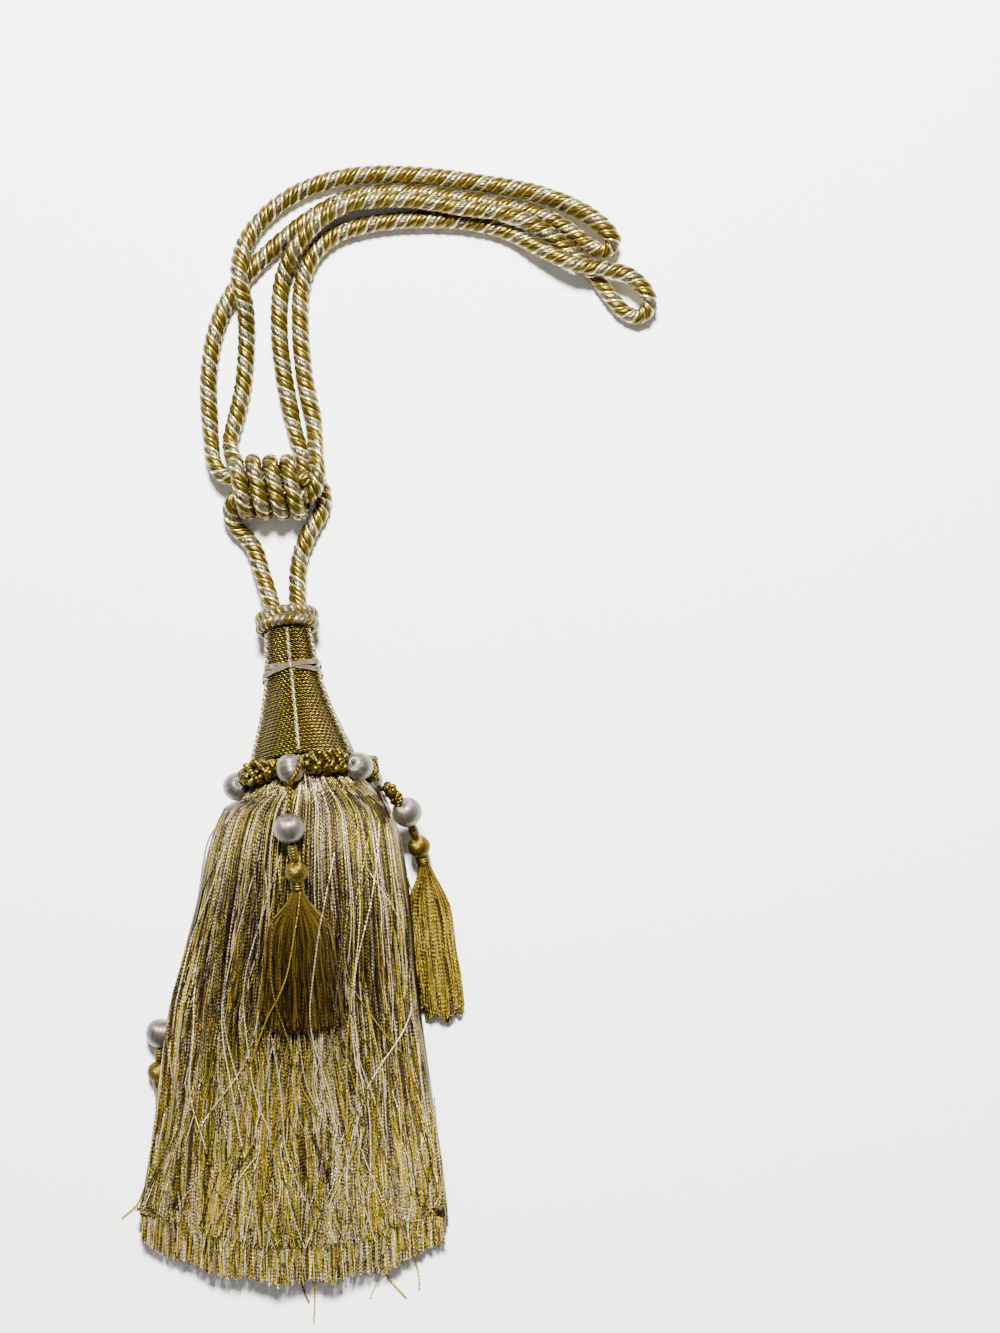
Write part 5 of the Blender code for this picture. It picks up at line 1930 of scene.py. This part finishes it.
    def paths(self, shape: SkirtShape, chance: np.random.Generator, count: int,
              reach: float) -> Array:
        """Lays the small skirt's threads on what carries them.

        Args:
            shape: The main skirt.
            chance: Source of the threads' waywardness.
            count: How many threads or locks there are.
            reach: How far out they may lie, as a share of the small skirt.

        Returns:
            The paths.
        """
        u = chance.uniform(-1.0, 1.0, count) * reach
        v = chance.uniform(-1.0 if reach < 1.0 else 0.1, reach, count)
        neck, end = np.array(self.neck_end), np.array(self.skirt_end)
        along = end - neck
        disc_x, disc_z = on_disc(u, v)
        root = neck + (self.neck_radius - 0.4) * np.stack([disc_x, 0.0 * u, disc_z], axis=-1)
        down = unit(neck - np.array(self.ball))
        stations = [root - down * 1.6, root + down * 0.8]
        tips = chance.normal(0.0, 0.018, count) + 0.014 * np.sin(9.0 * u)
        stray = chance.normal(0.0, 0.4, count)
        for share, spread, thick in ((0.3, self.middle_spread, 1.1),
                                     (0.65, 0.5 + 0.5 * self.middle_spread, 1.05),
                                     (1.0, 1.0, 1.0)):
            run = share + tips * share
            centre = neck + along * run[:, None]
            x = centre[:, 0] + self.end_half * spread * u + stray * share
            y = centre[:, 1] + (4.0 * u * u + 1.4 * (v + 1.0)) * share
            low = shape.top(x, y) + 0.9 if self.on_skirt else np.zeros_like(x)
            high = low + self.end_height * thick * (1.0 - 0.35 * u * u)
            z = low + 0.5 + (high - low - 1.0) * (v + 1.0) / 2.0
            stations.append(np.stack([x, y, z], axis=-1))
        paths = through_stations(np.stack(stations, axis=1), self.samples)
        t = np.linspace(0.0, 1.0, self.samples)[None, :]
        turn = chance.uniform(0.0, 6.0, (count, 2))
        paths[..., 0] += 0.5 * t * np.sin(2 * math.pi * 2.2 * t + turn[:, :1])
        paths[..., 2] += 0.25 * t * np.sin(2 * math.pi * 3.0 * t + turn[:, 1:])
        keep_above(paths, self.thread)
        return paths


@dataclass
class Strays:
    """Single threads that have come away from the skirt's outline.

    Each route is a list of points beside the skirt, from the thread's root.
    """

    wardrobe: Wardrobe
    routes: tuple = (
        ((-30.0, 56.0, 16.0), (-38.5, 46.0, 8.0), (-44.0, 20.0, 2.0), (-47.0, 5.0, 0.6),
         (-49.5, -6.0, 0.6), (-47.5, -16.0, 0.6)),
        ((-56.0, -50.0, 14.0), (-60.5, -64.0, 3.0), (-62.5, -74.0, 0.6), (-64.0, -84.0, 0.6)),
        ((-60.0, -90.0, 5.0), (-65.5, -102.0, 0.6), (-70.5, -112.0, 0.6),
         (-77.0, -118.0, 0.6)),
        ((4.0, -128.0, 6.0), (5.4, -143.0, 1.5), (6.0, -153.0, 0.6), (5.5, -162.5, 0.6)),
        ((-3.0, -130.0, 5.0), (-0.4, -143.0, 1.0), (1.2, -149.0, 0.6), (3.6, -154.2, 0.6)),
        ((13.0, -130.0, 5.0), (13.6, -141.0, 1.0), (14.2, -144.0, 0.6), (13.8, -147.5, 0.6)),
        ((39.0, -130.0, 4.0), (36.4, -141.0, 1.0), (32.4, -146.0, 0.6), (29.7, -152.1, 0.6)),
        ((33.0, -130.0, 4.0), (36.0, -141.0, 1.0), (41.0, -147.6, 0.6), (45.4, -152.1, 0.6)),
        ((47.0, -124.0, 4.0), (49.0, -135.0, 1.0), (50.6, -142.0, 0.6), (50.9, -148.5, 0.6)),
        ((46.0, 30.0, 12.0), (51.0, 10.0, 3.0), (51.5, -8.0, 0.8), (53.0, -19.0, 0.6)),
    )
    thread: float = 0.4

    def build(self) -> None:
        """Builds the stray threads as one piece."""
        skin = Skin(self.wardrobe)
        for k, route in enumerate(self.routes):
            path = even_spaced(smooth_route(np.array(route), 1.0), 2.0)
            skin.add(tube_rings(path[None], self.thread, 5), k % 2, 0.6, lap=k + 0.5,
                     arc=run_along(path)[None, :, None])
        skin.make("stray_threads", [Thread.SKIRT_CREAM, Thread.SKIRT_GOLD], "skirt_thread")


# ================================================================ studio
@dataclass
class Studio:
    """The camera straight above, the pale floor and the soft lights."""

    middle: tuple[float, float] = (85.6, 119.1)
    height: float = 1100.0
    field_height: float = 573.2
    sensor: float = 36.0
    floor_half: float = 4000.0
    floor_drop: float = 0.4
    light_target: tuple[float, float, float] = (0.03, 0.08, 0.0)
    ambient: float = 0.16

    def build_camera(self) -> None:
        """Sets the camera over the tieback."""
        data = bpy.data.cameras.new("camera")
        data.sensor_width = self.sensor
        data.lens = self.sensor * self.height / self.field_height
        data.clip_start, data.clip_end = 0.01, 20.0
        camera = bpy.data.objects.new("camera", data)
        camera.location = (self.middle[0] * MM, self.middle[1] * MM, self.height * MM)
        bpy.context.scene.collection.objects.link(camera)
        bpy.context.scene.camera = camera

    def build_floor(self) -> None:
        """Makes the floor."""
        mesh = bpy.data.meshes.new("floor")
        half = self.floor_half * MM
        corners = [(-half, -half, 0.0), (half, -half, 0.0), (half, half, 0.0), (-half, half, 0.0)]
        mesh.from_pydata(corners, [], [(0, 1, 2, 3)])
        mesh.materials.append(FloorFinish().material())
        floor = bpy.data.objects.new("floor", mesh)
        floor.location.z = -self.floor_drop * MM
        bpy.context.scene.collection.objects.link(floor)

    def add_light(self, name: str, place: tuple[float, float, float], size: float,
                  power: float, colour: Colour) -> None:
        """Adds a soft square light that faces the tieback.

        Args:
            name: The light's name.
            place: Where it hangs, in metres.
            size: Its width, in metres.
            power: Its power, in watts.
            colour: Its colour.
        """
        data = bpy.data.lights.new(name, "AREA")
        data.size = size
        data.energy = power
        data.color = colour
        light = bpy.data.objects.new(name, data)
        light.location = place
        aim = Vector(self.light_target) - Vector(place)
        light.rotation_euler = aim.to_track_quat("-Z", "Y").to_euler()
        bpy.context.scene.collection.objects.link(light)

    def build_lights(self) -> None:
        """Lights the tieback from beyond the loops, with a pale fill."""
        self.add_light("window", (0.05, 0.9, 1.3), 0.26, 146.0, (1.0, 0.985, 0.96))
        self.add_light("fill", (-0.5, -0.3, 1.5), 1.6, 3.0, (0.96, 0.98, 1.0))
        world = bpy.data.worlds.new("studio")
        world.use_nodes = True
        background = world.node_tree.nodes["Background"]
        background.inputs["Color"].default_value = (1.0, 1.0, 1.0, 1.0)
        background.inputs["Strength"].default_value = self.ambient
        bpy.context.scene.world = world


# ================================================================ whole tieback
def drops(wardrobe: Wardrobe) -> tuple[Drop, ...]:
    """Lists the three drops that hang from the ruff."""
    return (
        Drop(wardrobe, "drop_front", (0.2, 53.6, 64.6), (3.0, 35.6, 61.2),
             (3.2, 29.2, 58.6), (3.0, -33.0, 0.0), 17.6, 6.0,
             ((4.6, 82.6, 61.8), (4.4, 79.0, 64.6), (2.8, 75.0, 65.0), (0.9, 72.6, 63.2),
              (0.2, 71.4, 60.6), (0.2, 66.0, 62.4), (0.2, 60.3, 63.1)),
             Thread.DROP_AMBER, middle_spread=0.72, on_skirt=True, painted_shade_strength=0.5, singles=340),
        Drop(wardrobe, "drop_right", (46.4, 57.6, 21.0), (51.2, 42.6, 12.4),
             (52.8, 36.4, 9.4), (60.4, -31.0, 0.0), 9.4, 8.5,
             ((37.0, 69.7, 29.8), (39.6, 67.2, 28.0), (43.0, 62.1, 24.2)),
             Thread.DROP_GOLD, middle_spread=0.9, cord_radius=3.3, singles=380),
        Drop(wardrobe, "drop_left", (-59.4, -37.6, 6.6), (-60.6, -54.4, 5.2),
             (-59.8, -60.8, 4.6), (-55.5, -103.0, 0.0), 6.0, 5.4,
             ((-21.5, 60.4, 10.4), (-26.0, 54.0, 4.5), (-32.0, 32.0, 1.6),
              (-37.0, 6.0, 1.6), (-45.0, -15.0, 2.6), (-55.1, -32.0, 5.6)),
             Thread.DROP_GOLD, locks=30, singles=60),
    )


def main() -> None:
    """Builds the dressed tieback in order."""
    logging.basicConfig(level=logging.INFO, format="%(name)s %(message)s")
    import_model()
    studio = Studio()
    studio.build_camera()
    wardrobe = Wardrobe()
    Rope(wardrobe).build()
    head = Head(wardrobe)
    head.build()
    Ruff(wardrobe, head).build()
    skirt = MainSkirt(wardrobe, head)
    skirt.build()
    for drop in drops(wardrobe):
        drop.build(skirt.shape)
    Strays(wardrobe).build()
    studio.build_floor()
    studio.build_lights()


if __name__ == "__main__":
    main()
